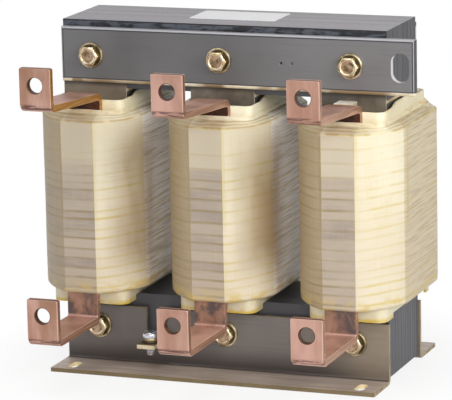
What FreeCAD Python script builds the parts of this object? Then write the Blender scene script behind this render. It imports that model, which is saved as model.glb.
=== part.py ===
import FreeCAD, Part
import math
import os

Vector = FreeCAD.Vector
os.makedirs("parts", exist_ok=True)

# The frame: X runs along the three legs, -Y is the terminal side, Z is up.
# The origin is on the floor, in the middle of the four foot slots.

# Laminated core
leg_width = 48.0
stack_depth = 65.0
leg_height = 3 * leg_width
leg_pitch = 2 * leg_width
yoke_height = leg_width
gap_plate = 2.0
core_lift = 4.0
coil_names = ("left", "middle", "right")
leg_places = (-leg_pitch, 0.0, leg_pitch)

# Levels and half sizes of the core
half_stack = stack_depth / 2
half_core = leg_pitch + leg_width / 2
lower_yoke_top = core_lift + yoke_height
leg_bottom = lower_yoke_top + gap_plate
leg_top = leg_bottom + leg_height
upper_yoke_bottom = leg_top + gap_plate
core_top = upper_yoke_bottom + yoke_height
lower_bolt_height = core_lift + yoke_height / 2
upper_bolt_height = upper_yoke_bottom + yoke_height / 2

# Flat tie plates on the leg faces
tie_plate = 2.0
tie_plate_margin = 0.5
tie_plate_end = 4.0
clamp_back = half_stack + tie_plate

# Upper clamps, flat bars with rounded edges
upper_bar = 5.0
upper_bar_margin = 9.0
upper_bar_height = yoke_height - upper_bar_margin
upper_bar_inset = 1.0
upper_bar_reach = half_core - upper_bar_inset
upper_bar_tongue = 23.0
upper_bar_rounding = 1.8
upper_slot_width = 13.0
upper_slot_height = 20.5
upper_slot_edge = 10.5
pin_hole = 2.2
pin_hole_place = 45.5
pin_hole_spacing = 8.0
upper_clamp_face = clamp_back + upper_bar

# Lower clamps, folded sheet angles with foot flanges
sheet = 3.0
sheet_bend = 1.5
lower_clamp_overhang = 1.0
lower_clamp_reach = half_core + lower_clamp_overhang
lower_clamp_margin = 9.0
lower_clamp_height = lower_yoke_top - lower_clamp_margin
lower_clamp_face = clamp_back + sheet
flange_width = 36.5
flange_front = clamp_back + flange_width
foot_slot_width = 7.0
foot_slot_length = 16.0
foot_slot_end = 13.5
foot_slot_edge = 12.0
foot_slot_x = lower_clamp_reach - foot_slot_end
foot_slot_y = flange_front - foot_slot_edge

# Earth tab, cut from the front lower clamp and bent forward between the left and middle legs
tab_width = 13.4
tab_offset = 5.0
tab_place = -leg_pitch / 2 - tab_offset
tab_drop = 10.0
tab_underside = lower_bolt_height - tab_drop
tab_length = 20.5
tab_front = lower_clamp_face + tab_length
notch_clearance = 0.4
earth_thread = 6.0
earth_screw_edge = 9.5
earth_screw_y = tab_front - earth_screw_edge
earth_screw_length = 13.0
earth_screw_tip = 0.8
earth_head_width = 12.0
earth_head_height = 4.8
earth_head_rounding = 2.4
earth_drive_width = 1.4
earth_drive_depth = 1.6
earth_washer_width = 12.0
earth_washer = 1.6
lock_washer_width = 10.6
lock_washer = 2.0

# Yoke bolts
bolt = 8.0
bolt_hole = 9.0
hex_width = 13.0
hex_face_width = 12.4
hex_chamfer = 1.25
head_height = 5.3
nut_height = 6.5
bolt_point = 0.5
washer_width = 18.0
washer = 2.0
insulator_wall = 1.0
thread_clearance = 0.2
insulator_width = bolt_hole - thread_clearance + 2 * insulator_wall
yoke_hole = insulator_width + 2 * thread_clearance

# Copper bar of the six terminals
bar_width = 23.0
bar = 5.0
bar_bend = 2.0
flag_corner = 0.8
flag_hole = 11.0
flag_reach = 70.0

# Coils, in layers from the leg outwards
fit = 0.3
former_leg_gap = 0.8
former_wall = 1.6
former_corner = 6.0
cooling_duct = 12.9
liner_wall = 1.8
winding_side = 7.9
winding_front = 6.6
winding_back = 11.3
wrap_wall = 2.0
former_half_width = leg_width / 2 + former_leg_gap + former_wall
former_face = clamp_back + cooling_duct + former_wall
start_bar_face = former_face + bar
liner_half_width = former_half_width + fit + liner_wall
liner_front = start_bar_face + fit + liner_wall
liner_back = former_face + fit + liner_wall
finish_bar_face = liner_front + fit + winding_front + bar
flag_face = finish_bar_face + flag_reach
wrap_half_width = liner_half_width + fit + winding_side + fit + wrap_wall
wrap_front = finish_bar_face + wrap_wall
wrap_back = liner_back + fit + winding_back + fit + wrap_wall

# The taped outline: a flat facet over the bar and a rounded shoulder on each side of it.
# A shoulder is two arcs, which meet short of the side and behind the facet.
facet_margin = 0.5
wrap_facet = bar_width / 2 + facet_margin
shoulder_width = 4.5
shoulder_depth = 22.0
side_depth = 34.0
facet_bow = 0.1
side_bow = 0.065

# Levels of the coil's layers, from the yokes and from the winding's ends
former_top = upper_yoke_bottom - 3.0
former_step = 2.7
former_slope_start = half_stack / 2
former_slope_end = half_stack - 2.5
liner_step = 9.0
liner_skirt = 3.5
liner_notch = lower_clamp_face + fit
winding_low_gap = 9.5
winding_high_gap = 19.0
wrap_lap = 1.0
wrap_low_rise = 3.5
wrap_low_inset = 3.5
wrap_high_rise = 5.0
wrap_side_inset = 7.5
wrap_face_inset = 10.5
wrap_mouth_clearance = 0.6
liner_top = former_top - liner_step
winding_bottom = lower_yoke_top + winding_low_gap
winding_top = upper_yoke_bottom - winding_high_gap

# Sticks and wedges in the cooling ducts
duct_stick_width = 8.0
duct_stick_place = leg_width / 3
duct_wedge_width = 13.0
duct_wedge_place = -3.5
duct_stick_drop = 6.0
right_wedge_rise = 2.0
duct_stick_top = former_top - duct_stick_drop

# Levels of the terminals
start_bar_lap = 3.0
start_corner_rise = 2.7
start_strip_rise = 6.0
start_flag_rise = 28.0
start_hole_drop = 12.0
finish_bar_lap = 2.0
finish_strip_drop = 22.5
finish_flag_rise = 31.0
finish_hole_drop = 11.5

# Blank label on the upper yoke
label_length = 64.0
label_width = 35.0
label_sheet = 0.4
label_place = (-1.0, 6.5)


def plan(x, y):
    return Vector(x, y, 0)


def side(y, z):
    return Vector(0, y, z)


def elevation(x, z):
    return Vector(x, 0, z)


def rounded_loop(corners, place):
    """A closed wire through corners (u, v, radius), each rounded by its own radius."""
    points = [Vector(u, v, 0) for u, v, radius in corners]
    starts = []
    ends = []
    middles = []
    for i, corner in enumerate(corners):
        point = points[i]
        to_last = (points[i - 1] - point).normalize()
        to_next = (points[(i + 1) % len(points)] - point).normalize()
        half_angle = to_last.getAngle(to_next) / 2
        tangent = corner[2] / math.tan(half_angle)
        bisector = (to_last + to_next).normalize()
        starts.append(point + to_last * tangent)
        ends.append(point + to_next * tangent)
        middles.append(point + bisector * (corner[2] / math.sin(half_angle) - corner[2]))
    edges = []
    for i, corner in enumerate(corners):
        if corner[2] > 0:
            arc = [place(p.x, p.y) for p in (starts[i], middles[i], ends[i])]
            edges.append(Part.Arc(*arc).toShape())
        following = starts[(i + 1) % len(corners)]
        edges.append(Part.makeLine(place(ends[i].x, ends[i].y), place(following.x, following.y)))
    return Part.Wire(edges)


def slot_loop(u, v, width, length, place):
    """A closed wire around a round-ended slot, centred at (u, v) and long along v."""
    half_width = width / 2
    half_straight = length / 2 - half_width
    ends = []
    for way in (1, -1):
        points = [place(u + way * half_width, v + way * half_straight), place(u, v + way * length / 2),
                  place(u - way * half_width, v + way * half_straight)]
        ends.append(Part.Arc(*points).toShape())
    left, right = u - half_width, u + half_width
    low, high = v - half_straight, v + half_straight
    down = Part.makeLine(place(left, high), place(left, low))
    up = Part.makeLine(place(right, low), place(right, high))
    return Part.Wire([ends[0], down, ends[1], up])


def prism(wire, start, length):
    """The wire filled, moved by start and drawn out along length."""
    solid = Part.Face(wire).extrude(length)
    solid.translate(start)
    return solid


def box(x, y, z):
    """A box between the limits (low, high) on each axis."""
    size = [high - low for low, high in (x, y, z)]
    return Part.makeBox(*size, Vector(x[0], y[0], z[0]))


def drill(x, z, width, y):
    """A round cutter along Y, between the limits y."""
    return Part.makeCylinder(width / 2, y[1] - y[0], Vector(x, y[0], z), Vector(0, 1, 0))


def turned_about_z(shape):
    """The same shape turned half way round the vertical axis."""
    turned = shape.copy()
    turned.rotate(Vector(0, 0, 0), Vector(0, 0, 1), 180)
    return turned


def save(name, *solids):
    shape = solids[0] if len(solids) == 1 else Part.makeCompound(solids)
    shape.exportStep("parts/" + name + ".step")


# Core

def yoke(bottom, bolt_height):
    block = box((-half_core, half_core), (-half_stack, half_stack), (bottom, bottom + yoke_height))
    holes = [drill(x, bolt_height, yoke_hole, (-half_stack, half_stack)) for x in leg_places]
    return block.cut(holes)


def leg_block(x, bottom, height):
    half = leg_width / 2
    return box((x - half, x + half), (-half_stack, half_stack), (bottom, bottom + height))


def tie_plate_solid(x):
    half = leg_width / 2 - tie_plate_margin
    bottom = core_lift + tie_plate_end
    top = core_top - 2 * tie_plate_end
    plate = box((x - half, x + half), (-clamp_back, -half_stack), (bottom, top))
    levels = (lower_bolt_height, upper_bolt_height)
    return plate.cut([drill(x, z, bolt_hole, (-clamp_back, -half_stack)) for z in levels])


# Clamps

def upper_clamp(right_end):
    """A front bar, with its back on the tie plates and its front edges rounded."""
    bottom = upper_bolt_height - upper_bar_height / 2
    top = upper_bolt_height + upper_bar_height / 2
    ends = [(-upper_bar_reach, bottom), (right_end, bottom), (right_end, top), (-upper_bar_reach, top)]
    outline = Part.makePolygon([elevation(x, z) for x, z in ends + ends[:1]])
    bar_solid = prism(outline, Vector(0, -upper_clamp_face, 0), Vector(0, upper_bar, 0))
    front = min(bar_solid.Faces, key=lambda face: face.CenterOfMass.y)
    bar_solid = bar_solid.makeFillet(upper_bar_rounding, front.Edges)
    through = (-upper_clamp_face, -clamp_back)
    return bar_solid.cut([drill(x, upper_bolt_height, bolt_hole, through) for x in leg_places])


def upper_slot():
    x = upper_bar_reach + upper_bar_tongue - upper_slot_edge
    loop = slot_loop(x, upper_bolt_height, upper_slot_width, upper_slot_height, elevation)
    return prism(loop, Vector(0, -upper_clamp_face, 0), Vector(0, upper_bar, 0))


def foot_slot(x):
    loop = slot_loop(x, -foot_slot_y, foot_slot_width, foot_slot_length, plan)
    return prism(loop, Vector(0, 0, 0), Vector(0, 0, sheet))


def lower_clamp():
    """A front angle: its upright on the tie plates, its foot flange forward on the floor."""
    corners = [(-clamp_back, 0, sheet_bend + sheet),
               (-clamp_back, lower_clamp_height, 0),
               (-lower_clamp_face, lower_clamp_height, 0),
               (-lower_clamp_face, sheet, sheet_bend),
               (-flange_front, sheet, 0),
               (-flange_front, 0, 0)]
    length = Vector(2 * lower_clamp_reach, 0, 0)
    angle = prism(rounded_loop(corners, side), Vector(-lower_clamp_reach, 0, 0), length)
    through = (-lower_clamp_face, -clamp_back)
    cutters = [drill(x, lower_bolt_height, bolt_hole, through) for x in leg_places]
    cutters += [foot_slot(-foot_slot_x), foot_slot(foot_slot_x)]
    return angle.cut(cutters)


def with_earth_tab(angle):
    """The angle with a notch in its upright and the notch's metal bent forward as a tab."""
    half_notch = tab_width / 2 + notch_clearance
    root = tab_underside - sheet_bend
    notch = box((tab_place - half_notch, tab_place + half_notch), (-lower_clamp_face, -clamp_back),
                (root, lower_clamp_height))
    middle = tab_underside + sheet / 2
    upright = -clamp_back - sheet / 2
    tab_path = [(upright, root - sheet), (upright, middle), (-tab_front, middle)]
    tab = bent_strip(tab_path, sheet, sheet_bend, tab_place, tab_width)
    hole = Part.makeCylinder(earth_thread / 2 + thread_clearance, sheet,
                             Vector(tab_place, -earth_screw_y, tab_underside))
    return angle.cut(notch).fuse(tab).cut(hole).removeSplitter()


# Bent copper bars and tabs

def bent_strip(path, thickness, inner_radius, x, width):
    """A strip of even thickness along a path of (y, z) points, bent with one inner radius."""
    points = [Vector(y, z, 0) for y, z in path]
    runs = [(b - a).normalize() for a, b in zip(points, points[1:])]
    left = []
    right = []
    for i, point in enumerate(points):
        before = runs[max(i - 1, 0)]
        after = runs[min(i, len(runs) - 1)]
        normal_before = Vector(-before.y, before.x, 0)
        normal_after = Vector(-after.y, after.x, 0)
        shift = (normal_before + normal_after) * (thickness / 2 / (1 + normal_before.dot(normal_after)))
        turn = before.cross(after).z
        bent = abs(turn) > 1e-6
        left_radius = (inner_radius if turn > 0 else inner_radius + thickness) if bent else 0
        right_radius = (inner_radius + thickness if turn > 0 else inner_radius) if bent else 0
        left.append((point.x + shift.x, point.y + shift.y, left_radius))
        right.append((point.x - shift.x, point.y - shift.y, right_radius))
    loop = rounded_loop(right + left[::-1], side)
    return prism(loop, Vector(x - width / 2, 0, 0), Vector(width, 0, 0))


def flag_finish(lead, x, top, hole_height):
    """The flag's two cut corners and its cable hole."""
    low = top - flag_corner
    cutters = []
    for sign in (-1, 1):
        edge = x + sign * bar_width / 2
        triangle = Part.makePolygon([elevation(edge, low), elevation(edge, top),
                                     elevation(edge - sign * flag_corner, top), elevation(edge, low)])
        cutters.append(prism(triangle, Vector(0, -flag_face, 0), Vector(0, bar, 0)))
    cutters.append(drill(x, hole_height, flag_hole, (-flag_face, -flag_face + bar)))
    return lead.cut(cutters)


def start_lead(x):
    """The upper terminal: up inside the winding, forward over the coil and up to its flag."""
    middle = -start_bar_face + bar / 2
    flag = -flag_face + bar / 2
    corner = former_top - former_step + start_corner_rise
    strip_end = corner + start_strip_rise
    top = strip_end + start_flag_rise
    path = [(middle, winding_bottom + start_bar_lap), (middle, corner), (flag, strip_end), (flag, top)]
    return flag_finish(bent_strip(path, bar, bar_bend, x, bar_width), x, top, top - start_hole_drop)


def finish_lead(x):
    """The lower terminal: down outside the winding, forward and up to its flag."""
    middle = -finish_bar_face + bar / 2
    flag = -flag_face + bar / 2
    strip = winding_bottom - finish_strip_drop
    top = strip + finish_flag_rise
    path = [(middle, winding_top - finish_bar_lap), (middle, strip), (flag, strip), (flag, top)]
    return flag_finish(bent_strip(path, bar, bar_bend, x, bar_width), x, top, top - finish_hole_drop)


# Coils

def tube_plan(x, half_width, front, back, corner):
    corners = [(x - half_width, -front, corner), (x + half_width, -front, corner),
               (x + half_width, back, corner), (x - half_width, back, corner)]
    return rounded_loop(corners, plan)


def bowed(start, end, bow):
    """An arc from start to end that bulges to the right of its direction by bow times its chord."""
    chord = end - start
    middle = (start + end) * 0.5 + chord.cross(Vector(0, 0, 1)) * bow
    return Part.Arc(start, middle, end).toShape()


def coil_plan(x, side_inset, face_inset, z):
    """The taped coil's outline, drawn in at the sides and at the faces: flat sides, rounded
    shoulders and a flat facet over the bar."""
    half_width = wrap_half_width - side_inset
    front = -wrap_front + face_inset
    back = wrap_back - face_inset
    shoulder = half_width - shoulder_width
    right = [plan(wrap_facet, front), plan(shoulder, front + shoulder_depth),
             plan(half_width, front + side_depth), plan(half_width, back - side_depth),
             plan(shoulder, back - shoulder_depth), plan(wrap_facet, back)]
    left = [plan(-p.x, p.y) for p in reversed(right)]
    corners = right + left
    half_round = (facet_bow, side_bow, 0, side_bow, facet_bow, 0)
    edges = []
    for i, bow in enumerate(half_round + half_round):
        start = corners[i]
        end = corners[(i + 1) % len(corners)]
        edges.append(bowed(start, end, bow) if bow else Part.makeLine(start, end))
    wire = Part.Wire(edges)
    wire.translate(Vector(x, 0, z))
    return wire


def column(wire, bottom, top):
    return prism(wire, Vector(0, 0, bottom), Vector(0, 0, top - bottom))


def former(x):
    """The tube on the leg, a little lower at its front and back than beside the leg."""
    outer = tube_plan(x, former_half_width, former_face, former_face, former_corner)
    inner = tube_plan(x, former_half_width - former_wall, former_face - former_wall,
                      former_face - former_wall, former_corner - former_wall)
    tube = column(outer, lower_yoke_top, former_top).cut(column(inner, lower_yoke_top, former_top))
    low_top = former_top - former_step
    cutters = []
    for sign in (-1, 1):
        outline = [side(sign * former_slope_start, former_top), side(sign * former_slope_end, low_top),
                   side(sign * 2 * former_face, low_top), side(sign * 2 * former_face, former_top)]
        start = Vector(x - former_half_width, 0, 0)
        length = Vector(2 * former_half_width, 0, 0)
        cutters.append(prism(Part.makePolygon(outline + outline[:1]), start, length))
    return tube.cut(cutters)


def liner_plan(x, inset):
    return tube_plan(x, liner_half_width - inset, liner_front - inset, liner_back - inset,
                     former_corner + liner_wall - inset)


def liner(x):
    """The insulating sleeve over the former and the upper terminal's bar. It stands on the
    lower yoke and hangs a little lower in front of it and behind it."""
    bottom = lower_yoke_top - liner_skirt
    outer = column(liner_plan(x, 0), bottom, liner_top)
    inner = column(liner_plan(x, liner_wall), bottom, liner_top)
    over_yoke = box((x - liner_half_width, x + liner_half_width), (-liner_notch, liner_notch),
                    (bottom, lower_yoke_top))
    return outer.cut([inner, over_yoke])


def winding(x):
    """The wound copper foil, flat in front where the lower terminal's bar lies on it."""
    inset = wrap_wall + fit
    outer = column(coil_plan(x, inset, inset, 0), winding_bottom, winding_top)
    bar_bed = box((x - wrap_half_width, x + wrap_half_width), (-wrap_front, -finish_bar_face + bar),
                  (winding_bottom, winding_top))
    return outer.cut([bar_bed, column(liner_plan(x, -fit), winding_bottom, winding_top)])


def outer_wrap(x):
    """The tape layer over the winding, drawn in over both of its ends."""
    low_edge = winding_bottom - wrap_lap
    high_edge = winding_top + wrap_lap
    bottom = winding_bottom - wrap_low_rise
    top = winding_top + wrap_high_rise
    low = coil_plan(x, 0, 0, low_edge)
    high = coil_plan(x, 0, 0, high_edge)
    foot = coil_plan(x, wrap_low_inset, wrap_low_inset, bottom)
    head = coil_plan(x, wrap_side_inset, wrap_face_inset, top)
    body = Part.makeLoft([foot, low], True, True)
    body = body.fuse([Part.makeLoft([low, high], True, True), Part.makeLoft([high, head], True, True)])
    room = column(coil_plan(x, wrap_wall, wrap_wall, 0), winding_bottom - fit, winding_top + fit)
    mouth = column(liner_plan(x, -wrap_mouth_clearance), bottom, top)
    half_bar = bar_width / 2 + fit
    bar_exit = box((x - half_bar, x + half_bar), (-finish_bar_face, -finish_bar_face + bar + fit),
                   (bottom, winding_bottom))
    return body.cut([room, mouth, bar_exit]).removeSplitter()


def duct_sticks(x, front_wedge_top):
    """Two sticks and a wedge in each cooling duct, between the tie plate and the former."""
    near = clamp_back
    far = former_face - former_wall
    places = [(-duct_stick_place, duct_stick_width), (duct_wedge_place, duct_wedge_width),
              (duct_stick_place, duct_stick_width)]
    solids = []
    for place, width in places:
        limits = (x + place - width / 2, x + place + width / 2)
        top = front_wedge_top if place == duct_wedge_place else duct_stick_top
        solids.append(box(limits, (-far, -near), (lower_yoke_top, top)))
        solids.append(box(limits, (near, far), (lower_yoke_top, duct_stick_top)))
    return solids


# Fasteners

def hexagon(width, height):
    """A hexagonal prism along -Y from the origin, its outer corners chamfered."""
    radius = width / math.sqrt(3)
    points = [elevation(radius * math.cos(math.radians(60 * i)), radius * math.sin(math.radians(60 * i)))
              for i in range(7)]
    solid = prism(Part.makePolygon(points), Vector(0, 0, 0), Vector(0, -height, 0))
    cap = [side(0, 0), side(0, radius), side(-height + hex_chamfer, radius),
           side(-height, hex_face_width / 2), side(-height, 0)]
    turned = Part.Face(Part.makePolygon(cap + cap[:1])).revolve(Vector(0, 0, 0), Vector(0, 1, 0), 360)
    return solid.common(turned)


def ring(outer, inner, height):
    """A flat ring along -Y from the origin."""
    direction = Vector(0, -1, 0)
    disc = Part.makeCylinder(outer / 2, height, Vector(0, 0, 0), direction)
    return disc.cut(Part.makeCylinder(inner / 2, height, Vector(0, 0, 0), direction))


def moved(shape, x, y, z):
    copy = shape.copy()
    copy.translate(Vector(x, y, z))
    return copy


def yoke_bolts(clamp_face, height):
    under_head = -clamp_face - washer
    head = hexagon(hex_width, head_height)
    length = 2 * (clamp_face + washer) + nut_height + bolt_point
    whole = head.fuse(Part.makeCylinder(bolt / 2, length, Vector(0, 0, 0), Vector(0, 1, 0)))
    return [moved(whole, x, under_head, height) for x in leg_places]


def yoke_nuts(clamp_face, height):
    nut = turned_about_z(hexagon(hex_width, nut_height))
    nut = nut.cut(drill(0, 0, bolt + 2 * thread_clearance, (0, nut_height)))
    return [moved(nut, x, clamp_face + washer, height) for x in leg_places]


def washers_on(face, height):
    one = ring(washer_width, bolt_hole, washer)
    return [moved(one, x, -face, height) for x in leg_places]


def bolt_insulators(height):
    tube = drill(0, 0, insulator_width, (-half_stack, half_stack))
    tube = tube.cut(drill(0, 0, bolt + 2 * thread_clearance, (-half_stack, half_stack)))
    return [moved(tube, x, 0, height) for x in leg_places]


def disc_on_tab(width, hole, bottom, height):
    centre = Vector(tab_place, -earth_screw_y, bottom)
    return Part.makeCylinder(width / 2, height, centre).cut(Part.makeCylinder(hole / 2, height, centre))


def earth_screw(under_head):
    """A round-headed screw through the tab, its point showing below."""
    half_head = earth_head_width / 2
    half_shank = earth_thread / 2
    half_drive = earth_drive_width / 2
    head_top = under_head + earth_head_height
    point = under_head - earth_screw_length
    outline = [(0, point, 0), (half_shank - earth_screw_tip, point, 0),
               (half_shank, point + earth_screw_tip, 0), (half_shank, under_head, 0),
               (half_head, under_head, 0), (half_head, head_top, earth_head_rounding), (0, head_top, 0)]
    screw = Part.Face(rounded_loop(outline, side)).revolve(Vector(0, 0, 0), Vector(0, 0, 1), 360)
    drive = box((-half_head, half_head), (-half_drive, half_drive), (head_top - earth_drive_depth, head_top))
    return moved(screw.cut(drive), tab_place, -earth_screw_y, 0)


# Write every piece

save("lower_yoke", yoke(core_lift, lower_bolt_height))
save("upper_yoke", yoke(upper_yoke_bottom, upper_bolt_height))
save("lower_gap_plates", *[leg_block(x, lower_yoke_top, gap_plate) for x in leg_places])
save("upper_gap_plates", *[leg_block(x, leg_top, gap_plate) for x in leg_places])

front_tie_plates = [tie_plate_solid(x) for x in leg_places]
save("front_tie_plates", *front_tie_plates)
save("rear_tie_plates", *[turned_about_z(plate) for plate in front_tie_plates])

plate_through = (-upper_clamp_face, -clamp_back)
pin_holes = [drill(x, upper_bolt_height, pin_hole, plate_through)
             for x in (pin_hole_place, pin_hole_place + pin_hole_spacing)]
save("front_upper_clamp", upper_clamp(upper_bar_reach + upper_bar_tongue).cut([upper_slot()] + pin_holes))
save("rear_upper_clamp", turned_about_z(upper_clamp(upper_bar_reach)))
save("front_lower_clamp", with_earth_tab(lower_clamp()))
save("rear_lower_clamp", turned_about_z(lower_clamp()))

for coil_name, coil_x in zip(coil_names, leg_places):
    wedge_top = former_top + right_wedge_rise if coil_name == "right" else duct_stick_top
    save(coil_name + "_leg", leg_block(coil_x, leg_bottom, leg_height))
    save(coil_name + "_former", former(coil_x))
    save(coil_name + "_liner", liner(coil_x))
    save(coil_name + "_winding", winding(coil_x))
    save(coil_name + "_outer_wrap", outer_wrap(coil_x))
    save(coil_name + "_duct_sticks", *duct_sticks(coil_x, wedge_top))
    save(coil_name + "_start_terminal", start_lead(coil_x))
    save(coil_name + "_finish_terminal", finish_lead(coil_x))

save("upper_bolts", *yoke_bolts(upper_clamp_face, upper_bolt_height))
save("lower_bolts", *yoke_bolts(lower_clamp_face, lower_bolt_height))
save("upper_nuts", *yoke_nuts(upper_clamp_face, upper_bolt_height))
save("lower_nuts", *yoke_nuts(lower_clamp_face, lower_bolt_height))
front_washers = washers_on(upper_clamp_face, upper_bolt_height)
front_washers += washers_on(lower_clamp_face, lower_bolt_height)
save("front_washers", *front_washers)
save("rear_washers", *[turned_about_z(one) for one in front_washers])
save("upper_bolt_insulators", *bolt_insulators(upper_bolt_height))
save("lower_bolt_insulators", *bolt_insulators(lower_bolt_height))

tab_top = tab_underside + sheet
screw_hole = earth_thread + 2 * thread_clearance
save("earth_lock_washer", disc_on_tab(lock_washer_width, screw_hole, tab_top, lock_washer))
save("earth_flat_washer", disc_on_tab(earth_washer_width, screw_hole, tab_top + lock_washer, earth_washer))
save("earth_screw", earth_screw(tab_top + lock_washer + earth_washer))

label_limits = [(place - size / 2, place + size / 2)
                for place, size in zip(label_place, (label_length, label_width))]
save("blank_label", box(label_limits[0], label_limits[1], (core_top, core_top + label_sheet)))
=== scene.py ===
import bmesh
import bpy
import math
import random
from mathutils import Matrix, Vector, noise


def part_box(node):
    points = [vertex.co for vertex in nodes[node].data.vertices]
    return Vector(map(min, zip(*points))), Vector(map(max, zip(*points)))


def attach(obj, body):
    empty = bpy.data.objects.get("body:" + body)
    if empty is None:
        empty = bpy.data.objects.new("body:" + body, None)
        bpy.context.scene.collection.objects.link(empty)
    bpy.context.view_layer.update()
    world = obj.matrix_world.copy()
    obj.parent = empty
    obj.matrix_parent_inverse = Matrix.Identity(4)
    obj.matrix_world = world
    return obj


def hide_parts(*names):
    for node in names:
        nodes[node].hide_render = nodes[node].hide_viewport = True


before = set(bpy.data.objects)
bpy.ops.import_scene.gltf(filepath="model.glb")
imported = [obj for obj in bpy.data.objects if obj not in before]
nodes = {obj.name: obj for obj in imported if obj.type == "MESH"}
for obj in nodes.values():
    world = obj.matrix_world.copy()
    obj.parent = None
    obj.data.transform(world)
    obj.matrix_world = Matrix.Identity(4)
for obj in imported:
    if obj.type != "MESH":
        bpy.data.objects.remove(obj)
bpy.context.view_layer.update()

MM = 0.001
SIDES = ("left", "middle", "right")


def limits(node):
    """A node's lowest and highest corners in millimetres."""
    low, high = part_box(node)
    return low / MM, high / MM


def new_object(name, data):
    made = bpy.data.objects.new(name, data)
    bpy.context.scene.collection.objects.link(made)
    return made


def mesh_object(name, bm):
    """An object made from a bmesh, which is freed."""
    mesh = bpy.data.meshes.new(name)
    bm.to_mesh(mesh)
    bm.free()
    return new_object(name, mesh)


# Node trees

class Nodes:
    """A node tree with a few short calls to fill it."""

    def __init__(self, owner):
        owner.use_nodes = True
        self.tree = owner.node_tree
        self.tree.nodes.clear()

    def node(self, kind, inputs=None, **settings):
        made = self.tree.nodes.new("ShaderNode" + kind)
        for name, value in settings.items():
            setattr(made, name, value)
        self.fill(made, inputs or {})
        return made

    def fill(self, node, inputs):
        """Sets a node's inputs to plain values, or joins them to other nodes' outputs."""
        for name, value in inputs.items():
            socket = node.inputs[name]
            if isinstance(value, (int, float)):
                socket.default_value = value
            elif isinstance(value, tuple):
                socket.default_value = value + (1.0,) * (len(socket.default_value) - len(value))
            else:
                self.tree.links.new(value, socket)

    def span(self, value, low, high, to_low=0.0, to_high=1.0):
        """A smooth step of value from low to high."""
        inputs = {"Value": value, "From Min": low, "From Max": high, "To Min": to_low, "To Max": to_high}
        return self.node("MapRange", inputs, interpolation_type="SMOOTHSTEP").outputs[0]

    def fall(self, value, low, high, first=1.0):
        """A smooth step down to 0."""
        return self.span(value, low, high, first, 0.0)

    def band(self, value, start, full, last, end):
        """1 between full and last, and 0 before start and after end."""
        return self.times(self.span(value, start, full), self.fall(value, last, end))

    def math(self, operation, *values):
        """The values joined by one operation, from the first to the last."""
        result = values[0]
        for value in values[1:]:
            result = self.node("Math", {0: result, 1: value}, operation=operation).outputs[0]
        return result

    def times(self, *values):
        return self.math("MULTIPLY", *values)

    def most(self, *values):
        return self.math("MAXIMUM", *values)

    def minus(self, a, b):
        return self.math("SUBTRACT", a, b)

    def size(self, value):
        return self.math("ABSOLUTE", value, 0.0)

    def light_share(self):
        """1 for camera and transmission rays, a smaller share for glossy rays, 0 for the rest."""
        path = self.node("LightPath").outputs
        glossy = self.times(path["Is Glossy Ray"], GLOSSY_BACKGROUND)
        return self.most(path["Is Camera Ray"], path["Is Transmission Ray"], glossy)

    def end(self, output, share, first, second):
        """Ends the tree with a mix of two shaders."""
        mixed = self.node("MixShader", {0: share, 1: first.outputs[0], 2: second.outputs[0]})
        self.node(output, {"Surface": mixed.outputs[0]})


# Camera, light and floor

CAMERA_PLACE = Vector((0.79, -2.1, 0.6))
CAMERA_YAW = -0.3648
CAMERA_PITCH = -0.212
CAMERA_ROLL = -0.021
CAMERA_FOCUS = 3228.0   # the focal length in pixels of the photograph
PHOTO_WIDTH = 452.0
SENSOR_WIDTH = 36.0

# Each lamp's azimuth from the front, positive to the right, and its elevation in degrees, its distance
# and size in metres, its power in watts and its colour
LAMPS = {"key": (60, 26, 1.2, 0.6, 6.8, (1.0, 0.985, 0.96)),
         "front": (25, 15, 1.4, 0.6, 5.6, (1.0, 0.99, 0.97)),
         "left fill": (-68, 14, 1.7, 1.0, 2.6, (0.96, 0.98, 1.0)),
         "top": (-20, 78, 1.25, 1.0, 5.8, (1.0, 1.0, 1.0))}
LAMPS_AIM = Vector((0.0, 0.0, 0.12))
AMBIENT = 0.19
GLOSSY_BACKGROUND = 0.6
FLOOR_SIZE = 6.0
FLOOR_DROP = 0.0002
FLOOR_FADE = (0.12, 0.22, 0.84)   # where its whiteness starts to rise and is full, and its least share


def aim_camera():
    """The photograph's view: a long lens from the front right, a little above the coils."""
    level = math.cos(CAMERA_PITCH)
    forward = Vector((math.sin(CAMERA_YAW) * level, math.cos(CAMERA_YAW) * level, math.sin(CAMERA_PITCH)))
    right = Vector((math.cos(CAMERA_YAW), -math.sin(CAMERA_YAW), 0.0))
    up = right.cross(forward)
    tilted_right = right * math.cos(CAMERA_ROLL) + up * math.sin(CAMERA_ROLL)
    tilted_up = up * math.cos(CAMERA_ROLL) - right * math.sin(CAMERA_ROLL)
    data = bpy.data.cameras.new("camera")
    data.sensor_fit = "HORIZONTAL"
    data.sensor_width = SENSOR_WIDTH
    data.lens = CAMERA_FOCUS * SENSOR_WIDTH / PHOTO_WIDTH
    data.clip_start = 0.1
    data.clip_end = 20.0
    camera = new_object("camera", data)
    turn = Matrix((tilted_right, tilted_up, -forward)).transposed()
    camera.matrix_world = Matrix.Translation(CAMERA_PLACE) @ turn.to_4x4()
    bpy.context.scene.camera = camera


def area_light(name, azimuth, elevation, distance, size, power, colour):
    data = bpy.data.lights.new(name, "AREA")
    data.shape = "RECTANGLE"
    data.size = size
    data.size_y = size
    data.energy = power
    data.color = colour
    lamp = new_object(name, data)
    around = math.radians(azimuth)
    above = math.radians(elevation)
    level = math.cos(above)
    way = Vector((math.sin(around) * level, -math.cos(around) * level, math.sin(above)))
    lamp.location = LAMPS_AIM + way * distance
    lamp.rotation_mode = "QUATERNION"
    lamp.rotation_quaternion = (-way).to_track_quat("-Z", "Y")
    lamp.visible_camera = False


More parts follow.
